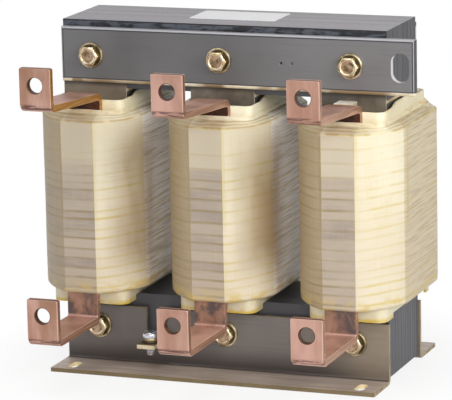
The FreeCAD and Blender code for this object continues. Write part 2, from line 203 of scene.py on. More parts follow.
def light_scene():
    for name, lamp in LAMPS.items():
        area_light(name, *lamp)
    world = bpy.data.worlds.new("studio")
    bpy.context.scene.world = world
    n = Nodes(world)
    ambient = n.node("Background", {"Color": (0.97, 0.98, 1.0), "Strength": AMBIENT})
    seen = n.node("Background", {"Color": (1, 1, 1), "Strength": 1.0})
    n.end("OutputWorld", n.light_share(), ambient, seen)


def lay_floor():
    """A pale floor that is white where it meets the backdrop and keeps a soft shadow under the part."""
    bm = bmesh.new()
    bmesh.ops.create_grid(bm, x_segments=24, y_segments=24, size=FLOOR_SIZE)
    floor = mesh_object("floor", bm)
    floor.location = (0, 0, -FLOOR_DROP)
    material = bpy.data.materials.new("floor")
    n = Nodes(material)
    lit = n.node("BsdfDiffuse", {"Color": (0.9, 0.9, 0.9)})
    white = n.node("Emission", {"Color": (1, 1, 1), "Strength": 1.0})
    place = n.node("NewGeometry").outputs["Position"]
    away = n.node("VectorMath", {0: place}, operation="LENGTH").outputs["Value"]
    n.end("OutputMaterial", n.times(n.span(away, *FLOOR_FADE), n.light_share()), lit, white)
    floor.data.materials.append(material)


# Materials

class Finish(Nodes):
    """A material whose tone is laid in coats. Places are in millimetres, and noise has a scale in cells
    per metre."""

    def __init__(self, name, metallic=0.0, coat=0.0, coat_roughness=0.2):
        self.material = bpy.data.materials.new(name)
        super().__init__(self.material)
        plain = {"Metallic": metallic, "Coat Weight": coat, "Coat Roughness": coat_roughness}
        self.shader = self.node("BsdfPrincipled", plain)
        self.node("OutputMaterial", {"Surface": self.shader.outputs[0]})
        coordinates = self.node("TexCoord").outputs
        self.place = coordinates["Object"]
        scaled = self.node("VectorMath", {0: self.place, "Scale": 1 / MM}, operation="SCALE").outputs[0]
        self.x, self.y, self.z = self.node("SeparateXYZ", {0: scaled}).outputs
        self.face_x, self.face_y, self.face_z = self.node("SeparateXYZ", {0: coordinates["Normal"]}).outputs
        self.tone = None

    def noise(self, scale, detail=3.0, stretch=(1, 1, 1), rough=0.5, distort=0.0):
        """Noise over the object's place, from 0 to 1."""
        place = self.node("Mapping", {"Scale": stretch, "Vector": self.place}).outputs[0]
        inputs = {"Vector": place, "Scale": scale, "Detail": detail, "Roughness": rough,
                  "Distortion": distort}
        return self.node("TexNoise", inputs).outputs["Fac"]

    def attribute(self, name):
        return self.node("Attribute", attribute_name=name).outputs["Fac"]

    def mix(self, factor, a, b):
        return self.node("Mix", {"Factor": factor, 6: a, 7: b}, data_type="RGBA").outputs[2]

    def shades(self, value, dark, light, low=0.3, high=0.7):
        """From dark to light as value rises from low to high."""
        return self.mix(self.span(value, low, high), dark, light)

    def lay(self, mask, colour):
        """Lays a colour over the tone, as thick as the mask says."""
        self.tone = self.mix(mask, self.tone, colour)

    def done(self, rough, *bumps):
        """The material with its tone, its roughness and its bumps: height, depth in millimetres, strength."""
        normal = {}
        for height, depth, strength in bumps:
            inputs = {"Height": height, "Distance": depth * MM, "Strength": strength, **normal}
            normal = {"Normal": self.node("Bump", inputs).outputs[0]}
        self.fill(self.shader, {"Base Color": self.tone, "Roughness": rough, **normal})
        return self.material


def core_finish():
    """Stacked sheets under dull resin: paler on the upper yoke's top, darker on the sides, with dark runs
    above the clamp. Painted shade lays the legs nearly black between the yokes, for the gaps beside the tie
    plates, and the lower yoke's top nearly black, between the coils."""
    f = Finish("core resin", coat=0.2, coat_roughness=0.4)
    top = limits("upper_yoke")[1]
    clamp_top = limits("front_upper_clamp")[1].z
    sheets = f.noise(1.0, 2.0, (12, 1500, 12))
    cloud = f.noise(26.0, 4.0, (0.6, 1.6, 1.0))
    f.tone = f.shades(cloud, (0.05, 0.051, 0.06), (0.08, 0.081, 0.093), 0.3, 0.72)
    # painted shade: the legs nearly black between the yokes, for the dark gaps beside the tie plates
    f.lay(f.band(f.z, 52, 54, 198, 200), (0.012, 0.012, 0.01))
    # painted shade: the lower yoke's top faces nearly black, between the coils; the upper yoke's top stays
    # paler
    lower = f.shades(cloud, (0.03, 0.032, 0.042), (0.085, 0.09, 0.11), 0.3, 0.72)
    upper = f.shades(cloud, (0.315, 0.3, 0.318), (0.385, 0.368, 0.39), 0.3, 0.72)
    f.lay(f.span(f.face_z, 0.6, 0.9), f.mix(f.span(f.z, 100, 150), lower, upper))
    f.lay(f.span(sheets, 0.35, 0.75, 0.0, 0.06), (0.04, 0.04, 0.048))
    runs = f.noise(70.0, 3.0, (1.0, 1.0, 3.0), 0.6, 1.2)
    drip = f.shades(runs, (0.012, 0.013, 0.018), (0.09, 0.1, 0.125), 0.42, 0.58)
    drip = f.mix(f.span(f.z, top.z - 1.2, top.z - 0.6), drip, (0.01, 0.011, 0.015))
    front = f.span(f.size(f.y), top.y - 0.4, top.y - 0.1)
    f.lay(f.times(front, f.span(f.z, clamp_top - 3.0, clamp_top - 1.5)), drip)
    return f.done(f.span(cloud, 0.3, 0.7, 0.38, 0.52), (sheets, 0.03, 0.2), (f.noise(900.0), 0.04, 0.35))


def rolled(f, grain):
    """Ends a finish with the surface of rolled sheet."""
    rough = f.span(f.noise(140.0, 4.0), 0.3, 0.7, 0.38, 0.5)
    return f.done(rough, (f.noise(700.0), 0.02, 0.4), (grain, 0.02, 0.3))


def upper_steel_finish():
    """Neutral grey sheet, brighter to the right and a little at the left end as painted light, with a pale
    strip along its top and ends as a painted highlight on the rounded edge (painted shade on the end faces),
    and a strip of cream and gold along its lower edge as a painted highlight and reflection of the coils on
    the bent edge, each set off by a thin dark line. Its slot's walls carry painted light and shade."""
    f = Finish("grey clamp steel", metallic=0.3)
    low, high = limits("front_upper_clamp")
    dark_line = (0.05, 0.052, 0.064)
    grain = f.noise(50.0, 3.0, (0.5, 12.0, 12.0))
    f.tone = f.shades(f.noise(16.0, 4.0, (1.0, 1.0, 0.6)), (0.14, 0.14, 0.145), (0.175, 0.175, 0.181))
    # painted light: brighter towards the right end, and a little towards the left end
    f.lay(f.span(f.x, 0, 85, 0.0, 0.75), (0.235, 0.23, 0.236))
    f.lay(f.fall(f.x, -119, -85, 0.35), (0.215, 0.215, 0.222))
    f.lay(f.span(grain, 0.4, 0.8, 0.0, 0.18), (0.11, 0.11, 0.115))
    above_low = f.minus(f.z, low.z)
    inward = f.math("MINIMUM", f.minus(high.z, f.z), f.minus(f.x, low.x), f.minus(high.x, f.x))
    f.lay(f.band(inward, 1.2, 1.4, 1.8, 2.2), dark_line)
    # painted highlight: the pale strip along the top and ends stands for light on the rounded edge; on the
    # end faces it is dark, as painted shade
    strip = f.mix(f.span(f.size(f.face_x), 0.5, 0.7), (0.4, 0.395, 0.41), (0.075, 0.076, 0.086))
    f.lay(f.fall(inward, 1.0, 1.3), strip)
    # painted light and shade on the slot's walls: pale where they face up and right, dark elsewhere
    slot_wall = f.times(f.span(inward, 3, 4), f.fall(f.size(f.face_y), 0.3, 0.6))
    lit = f.span(f.math("ADD", f.face_x, f.face_z), -0.2, 0.4)
    f.lay(slot_wall, f.mix(lit, (0.045, 0.045, 0.055), (0.8, 0.8, 0.84)))
    f.lay(f.band(above_low, 2.4, 2.6, 3.0, 3.4), dark_line)
    # painted highlight and reflection: the cream and gold along the lower edge stands for the bent edge
    # catching light and reflecting the coils
    gold = f.shades(f.noise(24.0, distort=0.8), (0.34, 0.235, 0.13), (0.9, 0.82, 0.64), 0.42, 0.58)
    f.lay(f.fall(above_low, 2.3, 2.6), gold)
    return rolled(f, grain)


def lower_steel_finish():
    """Brown-grey sheet with thin olive-gold cut edges, and a cream-gold earth tab. Painted light makes it
    brighter to the right and lays the flange's top and the foot slots' walls pale; painted shade darkens it
    along the fold and in the corner at the flange's root.
    """
    f = Finish("brown clamp steel", metallic=0.35)
    low, high = limits("front_lower_clamp")
    washer_low, washer_high = limits("earth_flat_washer")
    grain = f.noise(50.0, 3.0, (0.4, 12.0, 12.0))
    f.tone = f.shades(f.noise(16.0, 4.0, (1.0, 1.0, 0.7)), (0.172, 0.153, 0.144), (0.228, 0.204, 0.19))
    # painted light: brighter towards the right end
    f.lay(f.span(f.x, 30, 115, 0.0, 0.8), (0.335, 0.275, 0.205))
    f.lay(f.span(grain, 0.4, 0.8, 0.0, 0.22), (0.135, 0.118, 0.105))
    # painted shade along the fold at the foot of the upright, weaker to the right
    f.lay(f.times(f.fall(f.z, 3, 22, 0.85), f.span(f.x, 70, 115, 1.0, 0.35)), (0.055, 0.048, 0.045))
    foot = f.times(f.span(f.face_z, 0.7, 0.9), f.fall(f.z, 10, 12))
    streaks = f.noise(60.0, 3.0, (0.35, 6.0, 1.0))
    # painted light: the flange's top faces are laid far paler than the upright, as if lit from above
    f.lay(foot, f.shades(streaks, (0.56, 0.475, 0.415), (0.72, 0.62, 0.55), 0.35, 0.65))
    # painted shade in the corner where the flange meets the upright
    f.lay(f.times(foot, f.fall(f.size(f.y), 38.5, 43.0)), (0.1, 0.085, 0.075))
    brim = f.times(f.span(f.z, high.z - 0.45, high.z - 0.15), f.span(f.face_z, 0.25, 0.5))
    lip = f.times(f.span(f.size(f.y), -low.y - 0.5, -low.y - 0.15), f.span(f.size(f.face_y), 0.3, 0.6))
    edge = f.shades(f.noise(120.0), (0.3, 0.22, 0.11), (0.46, 0.37, 0.21), 0.35, 0.65)
    edge = f.mix(f.times(lip, 0.8), edge, (0.215, 0.16, 0.08))
    f.lay(f.times(f.most(f.span(f.size(f.face_x), 0.55, 0.8), brim, lip), 0.9), edge)
    middle = (washer_low.x + washer_high.x) / 2
    half_tab = (washer_high.x - washer_low.x) / 2 + 1.2
    beside = f.fall(f.size(f.minus(f.x, middle)), half_tab, half_tab + 0.3)
    gold = f.shades(f.noise(300.0), (0.72, 0.58, 0.34), (0.92, 0.84, 0.62), 0.35, 0.65)
    gold = f.mix(f.span(f.face_z, 0.6, 0.8), gold, (0.16, 0.12, 0.07))
    f.lay(f.times(beside, f.band(f.y, -62, -60, -40, -38.5), f.span(f.z, 15, 16.5)), gold)
    # painted light: the foot slots' walls are laid bright, for light coming through the slots
    slot_wall = f.times(f.fall(f.size(f.x), 119.2, 119.7), f.band(f.size(f.y), 45, 46, 69, 69.5),
                        f.fall(f.size(f.face_z), 0.3, 0.6), f.fall(f.z, 3.2, 3.5))
    f.lay(slot_wall, (0.88, 0.76, 0.48))
    return rolled(f, grain)


def tie_finish():
    """Varnished strips on the legs, with pale edges, laid nearly black as painted shade just under the upper
    clamp and where they pass the lower clamp.
    """
    f = Finish("varnished strip", metallic=0.2, coat=0.3)
    upper_low = limits("front_upper_clamp")[0].z
    lower_top = limits("front_lower_clamp")[1].z
    f.tone = f.shades(f.noise(40.0, 5.0, (1.2, 1.0, 0.8)), (0.085, 0.075, 0.062), (0.26, 0.215, 0.165))
    f.lay(f.span(f.size(f.face_x), 0.6, 0.9), (0.5, 0.46, 0.4))
    # painted shade: nearly black just under the upper clamp, for its shadow
    f.lay(f.span(f.z, upper_low - 4.5, upper_low - 0.5, 0.0, 0.85), (0.03, 0.03, 0.028))
    # painted shade: nearly black above the lower clamp, for the dark gap below the coils
    f.lay(f.fall(f.z, lower_top + 6, lower_top + 12, 0.9), (0.02, 0.02, 0.022))
    return f.done(0.42, (f.noise(420.0, 3.0, (1, 1, 0.2)), 0.04, 0.6))


def zinc_finish():
    """Yellow zinc: pinkish faces, gold edges as a painted highlight on the chamfers, and dark olive sides as
    painted shade.
    """
    f = Finish("yellow zinc", metallic=0.75)
    cloud = f.noise(240.0, 4.0)
    along = f.size(f.face_y)
    # painted shade: the sides and shanks start dark olive
    f.tone = f.shades(f.noise(190.0), (0.04, 0.032, 0.012), (0.34, 0.25, 0.1), 0.35, 0.65)
    # painted highlight: faces turned part way to the front, the heads' chamfers, are laid bright gold
    f.lay(f.span(along, 0.3, 0.5), f.shades(cloud, (0.56, 0.42, 0.23), (0.92, 0.8, 0.6)))
    f.lay(f.span(along, 0.94, 0.99), f.shades(cloud, (0.2, 0.125, 0.065), (0.58, 0.41, 0.27)))
    f.lay(f.span(f.noise(360.0), 0.58, 0.7, 0.0, 0.75), (0.07, 0.05, 0.025))
    return f.done(f.span(cloud, 0.3, 0.7, 0.24, 0.42), (f.noise(1500.0, 2.0), 0.03, 0.4))


def washer_finish():
    """Zinc washers: painted shade under the head, with a bright golden rim. The mesh marks the radius."""
    f = Finish("pale zinc", metallic=0.7)
    cloud = f.noise(200.0, 4.0)
    f.tone = f.shades(cloud, (0.46, 0.35, 0.18), (0.86, 0.74, 0.5))
    f.lay(f.span(f.noise(105.0, 2.0), 0.44, 0.58, 0.0, 0.85), (0.15, 0.11, 0.05))
    # painted shade: dark near the axis, where the head shades the washer
    f.lay(f.fall(f.attribute("radius"), 7.5, 8.3, 0.92), (0.055, 0.042, 0.018))
    return f.done(f.span(cloud, 0.3, 0.7, 0.26, 0.42), (f.noise(1300.0, 2.0), 0.02, 0.4))


def bright_zinc_finish():
    """Bluish bright zinc for the earth screw."""
    f = Finish("bright zinc", metallic=0.9)
    cloud = f.noise(300.0)
    f.tone = f.shades(cloud, (0.46, 0.49, 0.58), (0.8, 0.82, 0.86))
    return f.done(f.span(cloud, 0.3, 0.7, 0.16, 0.3), (f.noise(1400.0, 2.0), 0.008, 0.3))


def copper_finish(name, bend, stain_and_shade_low, stain_and_shade_high, stain_and_shade_front, stain_and_shade_least, stain_and_shade_colours):
    """Bare copper bar: pink satin faces with a pale painted highlight on their rounded edges, brown sheared
    edges, painted shade on the holes' walls, scratches at the flag's bend, and a darkened stretch where it
    leaves the coil: a stain on the lower bars, painted shade under the strip on the upper bars."""
    f = Finish(name)
    flag = limits("left_start_terminal")[0].y
    on_flag = f.fall(f.y, flag + 2.0, flag + 4.5)
    cloud = f.noise(30.0, 4.0, (1.6, 1, 0.6), 0.55)
    fine = f.noise(60.0, 3.0, (9.0, 1.0, 1.0))
    f.tone = f.shades(cloud, (0.45, 0.235, 0.165), (0.71, 0.43, 0.355), 0.28, 0.72)
    f.lay(f.span(fine, 0.4, 0.8, 0.0, 0.25), (0.7, 0.44, 0.36))
    streaks = f.span(f.noise(75.0, 3.0, (1.0, 1.0, 0.25), 0.55), 0.35, 0.65)
    f.lay(f.times(on_flag, f.span(f.x, -90, -20, 0.75, 0.15), streaks), (0.36, 0.185, 0.105))
    along = f.times(f.noise(55.0, 3.0, (1.0, 0.35, 14.0), 0.5, 0.4), f.minus(1.0, on_flag))
    upright = f.times(f.noise(55.0, 3.0, (1.0, 14.0, 0.35), 0.5, 0.4), on_flag)
    lines = f.math("ADD", along, upright)
    brown = f.shades(lines, (0.36, 0.185, 0.12), (0.56, 0.32, 0.22), 0.35, 0.65)
    golden = f.shades(lines, (0.42, 0.185, 0.04), (0.62, 0.32, 0.085), 0.35, 0.65)
    upper_left = f.times(f.fall(f.x, -80, -60), f.span(f.z, 120, 150))
    turned_away = f.most(f.size(f.face_x), f.times(on_flag, f.face_z))
    # painted highlight: a pale band on the rounded edges, which turn part way from the front
    f.lay(f.band(turned_away, 0.15, 0.35, 0.55, 0.8), (0.84, 0.6, 0.5))
    f.lay(f.span(turned_away, 0.7, 0.92), f.mix(upper_left, brown, golden))
    side = f.times(f.span(f.size(f.face_x), 0.35, 0.6), f.span(f.y, flag + 1, flag + 3))
    edge = f.most(side, f.span(f.face_z, 0.4, 0.7))
    f.lay(f.times(edge, on_flag, f.span(f.z, bend + 6, bend + 10), 0.9), (0.13, 0.05, 0.028))
    # painted shade on the holes' walls
    f.lay(f.attribute("bore"), (0.1, 0.042, 0.022))
    scratch = f.span(f.noise(110.0, 4.0, (0.5, 1.0, 3.6), 0.6, 0.6), 0.42, 0.56, 0.0, 0.9)
    at_bend = f.band(f.z, bend - 1.5, bend, bend + 2.2, bend + 4)
    f.lay(f.times(on_flag, at_bend, scratch), (0.13, 0.055, 0.045))
    rim = f.shades(f.noise(90.0), (0.52, 0.24, 0.1), (0.3, 0.14, 0.13), 0.4, 0.6)
    f.lay(f.times(f.fall(f.z, bend - 2, bend - 0.5), on_flag, 0.7), rim)
    # a stain on the lower bars; on the upper bars painted shade where the bar rises under the strip, with
    # less metallic shine there
    stain_and_shade_noise = f.noise(75.0, 4.0, (1, 1, 0.8), 0.6, 0.5)
    behind = f.span(f.y, stain_and_shade_front, stain_and_shade_front + 3.5)
    level = f.band(f.z, stain_and_shade_low - 2, stain_and_shade_low, stain_and_shade_high, stain_and_shade_high + 4)
    broad = f.span(f.face_y, -0.8, -0.5, 1.0, 0.15)
    stain_and_shade = f.times(behind, level, broad, f.span(stain_and_shade_noise, 0.3, 0.5, stain_and_shade_least, 0.96))
    f.lay(stain_and_shade, f.shades(stain_and_shade_noise, *stain_and_shade_colours, 0.4, 0.6))
    f.fill(f.shader, {"Metallic": f.fall(stain_and_shade, 0, 1, 0.5)})
    f.fill(f.shader, {"Specular IOR Level": f.span(stain_and_shade, 0, 1, 0.5, 0.1)})
    return f.done(f.span(cloud, 0.3, 0.7, 0.32, 0.46), (fine, 0.015, 0.4), (f.noise(520.0), 0.02, 0.35))


def tape_finish():
    """Ivory glass tape in clear varnish. The mesh marks the turns' edges and tones, the greyer facet over the
    bar, the tan stretches, and the flanks with their fine lines. On the left shoulders the tan and the grey
    are painted shade; the inner flanks are laid nearly white as painted light, with fine white lines of
    painted gloss highlight; the right corners of the left and middle coils carry painted shade in brown."""
    f = Finish("varnished tape", coat=0.15, coat_roughness=0.35)
    low = limits("left_outer_wrap")[0]
    marks = ("bar", "turn", "tan", "flank", "pale", "lap", "mouth")
    bar, turn, tan, flank, pale, lap, mouth = [f.attribute(mark) for mark in marks]
    cloud = f.noise(26.0, 4.0, (1, 1, 0.5))
    f.tone = f.shades(cloud, (0.755, 0.678, 0.482), (0.82, 0.762, 0.588), 0.25, 0.75)
    f.lay(f.fall(f.z, 85, 150, 0.45), (0.74, 0.645, 0.515))
    f.lay(f.times(turn, 0.2), (0.72, 0.61, 0.42))
    # painted light: the inner flanks, which face a neighbouring coil, are laid nearly white
    f.lay(pale, (0.95, 0.91, 0.87))
    # the tan is real on the outer flanks; on the left shoulders, turned from the key light, the tan and the
    # bar's grey are painted shade
    f.lay(f.times(tan, 0.85), (0.42, 0.285, 0.125))
    f.lay(f.times(bar, 0.85), (0.515, 0.43, 0.342))
    patch = f.span(f.noise(85.0, 3.0, (0.5, 0.5, 1.0)), 0.25, 0.65, 0.45, 1.0)
    f.lay(f.times(bar, turn, patch), (0.365, 0.3, 0.26))
    weft = f.noise(380.0, 2.0, (0.16, 0.16, 2.2))
    warp = f.noise(420.0, 2.0, (3.0, 3.0, 0.12))
    f.lay(f.span(weft, 0.45, 0.8, 0.0, 0.3), (0.66, 0.56, 0.38))
    f.lay(f.span(warp, 0.5, 0.8, 0.0, 0.3), (0.62, 0.53, 0.4))
    streak = f.noise(330.0, 3.0, (0.07, 0.07, 2.6), 0.6)
    f.lay(f.times(flank, f.span(streak, 0.48, 0.64, 0.0, 0.65)), (0.42, 0.3, 0.165))
    # painted highlight: fine white streaks of gloss on the inner flanks
    f.lay(f.times(pale, f.fall(streak, 0.36, 0.46, 0.85)), (0.94, 0.93, 0.91))
    broken = f.span(f.noise(48.0, 3.0, (1, 1, 0.3)), 0.3, 0.58, 0.25, 1.0)
    f.lay(f.times(lap, broken), f.mix(f.most(bar, tan), (0.68, 0.55, 0.205), (0.34, 0.255, 0.11)))
    # painted shade: brown on the right corners of the left and middle coils, where the next coil shelters
    # them
    corner = f.times(f.span(f.face_x, 0.45, 0.92), f.fall(f.y, low.y + 28, low.y + 62))
    shade_breakup = f.span(f.noise(45.0, 3.0, (1, 1, 0.4)), 0.3, 0.6, 0.7, 1.0)
    sheltered = f.times(f.band(f.z, 56, 100, 145, 195), f.fall(f.x, 55, 60, 0.82))
    f.lay(f.times(corner, sheltered, shade_breakup), (0.255, 0.16, 0.07))
    gathered = f.span(f.noise(95.0, 4.0, (1, 1, 2.0)), 0.42, 0.58)
    f.lay(f.times(f.fall(f.z, low.z + 1, low.z + 13, 0.85), gathered), (0.68, 0.5, 0.16))
    f.lay(f.times(mouth, f.span(f.noise(60.0), 0.38, 0.56)), (0.44, 0.29, 0.12))
    swell = f.noise(70.0, 3.0, (1, 1, 2.0))
    rough = f.span(cloud, 0.3, 0.7, 0.4, 0.54)
    return f.done(rough, (warp, 0.1, 0.3), (weft, 0.1, 0.35), (swell, 0.25, 0.2))


def board_finish(name, node):
    """Varnished insulating board, honey-coloured where varnish has gathered at its lower and upper ends."""
    f = Finish(name, coat=0.1)
    low, high = limits(node)
    f.tone = f.shades(f.noise(36.0, 5.0), (0.84, 0.75, 0.51), (0.92, 0.87, 0.67))
    fibre = f.noise(500.0, 2.0, (0.4, 0.4, 2.5))
    f.lay(f.span(fibre, 0.4, 0.8, 0.0, 0.25), (0.7, 0.57, 0.31))
    blotch = f.span(f.noise(130.0, 3.0, (1, 1, 2)), 0.36, 0.56, 0.35, 1.0)
    f.lay(f.times(f.fall(f.z, low.z + 0.6, low.z + 4.5), blotch), (0.78, 0.56, 0.09))
    patch = f.span(f.noise(90.0, 3.0, (1, 1, 3)), 0.5, 0.65, 0.0, 0.6)
    f.lay(f.times(f.span(f.z, high.z - 4.5, high.z - 3.5), patch), (0.72, 0.52, 0.24))
    return f.done(0.5, (fibre, 0.06, 0.4), (f.noise(90.0), 0.25, 0.3))


def grained_finish(name, rough, grain, dark, light, bump, low=0.3, sawn=None, metallic=0.0, coat=0.0):
    """Two shades along one grain, given as a noise's scale, detail and stretch; sawn is the tops' colour."""
    f = Finish(name, metallic, coat)
    grain = f.noise(*grain)
    f.tone = f.shades(grain, dark, light, low, 1 - low)
    if sawn:
        f.lay(f.span(f.face_z, 0.5, 0.9, 0.0, 0.8), sawn)
    return f.done(rough, (grain, *bump))


def stick_finish():
    """Board sticks with a long grain, paler on their sawn tops."""
    grain = (260.0, 4.0, (1, 1, 0.06))
    return grained_finish("board stick", 0.55, grain, (0.56, 0.45, 0.27), (0.82, 0.74, 0.54), (0.15, 0.6),
                          sawn=(0.9, 0.87, 0.78))


def winding_finish():
    """Copper foil turns, seen only through the mouth of the taping."""
    grain = (30.0, 2.0, (40, 40, 0.2))
    return grained_finish("foil winding", 0.35, grain, (0.36, 0.16, 0.08), (0.72, 0.42, 0.28), (0.2, 0.6),
                          low=0.35, metallic=0.8)


def plain_board_finish(name, dark, light):
    """Fibre board or wound paper."""
    return grained_finish(name, 0.6, (300.0, 3.0, (1, 0.3, 1)), dark, light, (0.08, 0.5))


def label_finish():
    """Bare white film."""
    return grained_finish("blank film", 0.3, (40.0, 3.0), (0.94, 0.94, 0.95), (0.98, 0.98, 0.98), (0.15, 0.4),
                          coat=0.2)


# Mesh building

WELD = 1e-6
COPLANAR = math.radians(0.4)
SHARP = math.radians(28)


def new_piece(name, bm, material, node, smooth=None):
    """A piece in place of a node; its edges stay sharp where they turn by more than smooth degrees."""
    bm.normal_update()
    piece = mesh_object(name, bm)
    piece.data.materials.append(material)
    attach(piece, "root")
    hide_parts(node)
    if smooth:
        piece.data.shade_smooth()
        piece.data.set_sharp_from_angle(angle=math.radians(smooth))
    return piece


def add_loops(bm, loops, closed=True):
    """Faces between neighbouring loops, in millimetres. Each loop closes on itself, and all have the same
    length, but for a single point that makes a tip."""
    rows = [[bm.verts.new(p * MM) for p in loop] for loop in loops]
    count = max(len(row) for row in rows)
    pairs = list(zip(rows, rows[1:]))
    if closed:
        pairs.append((rows[-1], rows[0]))
    for low, high in pairs:
        for i in range(count):
            j = (i + 1) % count
            corners = [low[i % len(low)], low[j % len(low)], high[j % len(high)], high[i % len(high)]]
            bm.faces.new(list(dict.fromkeys(corners)))
    return rows


def bevelled(name, node, width_mm, material, segments=2):
    """The node's own shape with its sharp edges rounded over, in place of the node."""
    bm = bmesh.new()
    bm.from_mesh(nodes[node].data)
    bmesh.ops.remove_doubles(bm, verts=bm.verts, dist=WELD)
    bmesh.ops.dissolve_limit(bm, angle_limit=COPLANAR, verts=bm.verts, edges=bm.edges)
    sharp = [e for e in bm.edges if len(e.link_faces) == 2 and e.calc_face_angle() > SHARP]
    bmesh.ops.bevel(bm, geom=sharp, offset=width_mm * MM, segments=segments, profile=0.5,
                    affect="EDGES", clamp_overlap=True)
    bmesh.ops.triangulate(bm, faces=[f for f in bm.faces if len(f.verts) > 4])
    piece = new_piece(name, bm, material, node, 40)
    piece.modifiers.new("face weights", "WEIGHTED_NORMAL").keep_sharp = True
    return piece


def mark(piece, domain, name, values):
    """Stores one value for each face or point under an attribute's name."""
    piece.data.attributes.new(name, "FLOAT", domain).data.foreach_set("value", values)


def smooth_step(value, low, high):
    t = min(max((value - low) / (high - low), 0.0), 1.0)
    return t * t * (3 - 2 * t)


def ripple(x, y, z, scale, seed):
    """Smooth noise between about -1 and 1 at a place in millimetres."""
    return noise.noise(Vector((x, y, z)) * scale + Vector((seed * 7.13, seed * 3.7, seed * 1.9)))


# Coils

FACET = 12.0           # half the flat facet over the bar
SIDE_DEPTH = 34.0      # how far behind the facet the flat side starts
SHOULDER_LEAN = math.radians(20)
SHOULDER_LEAVE = 0.52  # length of the curve's first handle, as a share of the shoulder's width
SHOULDER_ARRIVE = 0.29
FACET_STEPS, SHOULDER_STEPS, SIDE_STEPS = 4, 14, 14
CREASE_GAP = 0.6       # how close to a crease its nearest point across the facet lies
FORMER_CORNER = 6.0
FORMER_WALL = 1.6
LINER_CORNER = 7.8
LINER_WALL = 1.8
LINER_DROPS = (1.1, 0.4, 0.0)   # how far each of the liner's layers stays below its top
LINER_NOTCH = 37.8              # half the gap in the liner's skirt, over the lower yoke
MOUTH_GAP = 0.6
HEAD_SIDE_INSET = 7.5
HEAD_FACE_INSET = 10.5
FOOT_INSET = 3.5
RIM_DEPTH = 0.2                 # how wide and how high the rounding of a board's rim is
RIM_DROP = 0.18
WRAP_WALL = 2.0
WRAP_LAP = 1.0                  # how far the full outline reaches past the winding's ends

TONED_FROM, TONED_TO = 74.0, 150.0   # the heights between which the turns differ most in tone
# How strongly each zone of the outline shows the bar's grey and the tan; on the left zone both are painted
# shade
GREY = {"facet": 1.0, "back": 0.6, "left": 0.1, "shoulder": 0.0, "outer": 0.0, "inner": 0.0}
TAN_AND_SHADE = {"facet": 0.0, "back": 0.3, "left": 0.9, "shoulder": 0.0, "outer": 0.38, "inner": 0.0}
LEFT_SHADE_GREY = 0.5   # the left coil's grey to the left of its bar, painted shade on the side turned from the key light
# The lower end's rows: the share of the way in, the rise above the wrap's bottom, and the strength of the
# tape's edge
LOWER_ROWS = ((1.5, 0.15, 0.2), (1.0, 0.05, 0.5), (0.72, 0.35, 0.35), (0.42, 0.9, 0.15), (0.18, 1.65, 0.1),
              (0.04, 2.5, 0.3))
# The upper end's rows: the share of the way in, the lift, and the strengths of the tape's edge and of the
# mouth's soil
UPPER_ROWS = ((0.0, -0.6, 0.3, 0.1), (0.05, -0.1, 1.0, 0.8), (0.12, 0.2, 0.9, 0.6), (0.19, 0.35, 0.1, 0.0),
              (0.38, 0.25, 0.0, 0.0), (0.45, 0.0, 0.9, 0.6), (0.53, 0.2, 0.8, 0.3), (0.6, 0.38, 0.0, 0.0),
              (0.76, 0.3, 0.0, 0.0), (0.83, 0.05, 0.9, 0.8), (0.9, 0.2, 0.7, 0.5), (0.96, 0.35, 0.1, 0.0),
              (1.0, 0.0, 0.3, 0.4))


class Layer:
    """One layer of a coil: its middle, outline and levels in millimetres, read from its node."""

    def __init__(self, node, corner=0.0):
        low, high = limits(node)
        self.node = node
        self.corner = corner
        self.x = (low.x + high.x) / 2
        self.half_width = (high.x - low.x) / 2
        self.front = -low.y
        self.back = high.y
        self.bottom = low.z
        self.top = high.z

    def outside(self, p):
        """How far a point of the plan, taken from the coil's middle, lies outside the layer."""
        middle = (self.back - self.front) / 2
        half_depth = (self.back + self.front) / 2
        across = abs(p.x) - self.half_width + self.corner
        along = abs(p.y - middle) - half_depth + self.corner
        return math.hypot(max(across, 0.0), max(along, 0.0)) + min(max(across, along), 0.0) - self.corner


def shoulder(half_width, reach):
    """The curve from the facet's edge at -reach to the start of the flat side."""
    a = Vector((FACET, -reach))
    b = a + Vector((math.cos(SHOULDER_LEAN), math.sin(SHOULDER_LEAN))) * SHOULDER_LEAVE * (half_width - FACET)
    d = Vector((half_width, -reach + SIDE_DEPTH))
    c = d - Vector((0.0, SHOULDER_ARRIVE * SIDE_DEPTH))
    points = []
    for i in range(SHOULDER_STEPS + 1):
        t = i / SHOULDER_STEPS
        s = 1 - t
        points.append(a * s ** 3 + b * 3 * s * s * t + c * 3 * s * t * t + d * t ** 3)
    return points


def between(a, b, count):
    """Points that divide the line from a to b into count parts, without its ends."""
    return [a.lerp(b, i / count) for i in range(1, count)]


def across_facet(a, b):
    """Points across a facet from a to b, without its ends, with one close to each crease."""
    step = CREASE_GAP / (b - a).length
    return [a.lerp(b, step)] + between(a, b, FACET_STEPS) + [a.lerp(b, 1 - step)]


def wrap_outline(half_width, front, back):
    """The taped coil's outline, counter-clockwise from the left edge of its front facet."""
    near = shoulder(half_width, front)
    far = [Vector((p.x, -p.y)) for p in reversed(shoulder(half_width, back))]
    right = near + between(near[-1], far[0], SIDE_STEPS) + far
    left = [Vector((-p.x, p.y)) for p in reversed(right)]
    points = [left[-1]] + across_facet(left[-1], right[0]) + right
    return points + across_facet(right[-1], left[0]) + left[:-1]


def outline_normals(points):
    ways = [points[(i + 1) % len(points)] - points[i - 1] for i in range(len(points))]
    return [Vector((way.y, -way.x)).normalized() for way in ways]


def meets(layer, start, towards):
    """How far along the ray from start through towards the layer comes within the mouth's gap."""
    near, far = 0.0, 6.0
    for halving in range(30):
        middle = (near + far) / 2
        if layer.outside(start.lerp(towards, middle)) > MOUTH_GAP:
            near = middle
        else:
            far = middle
    return near


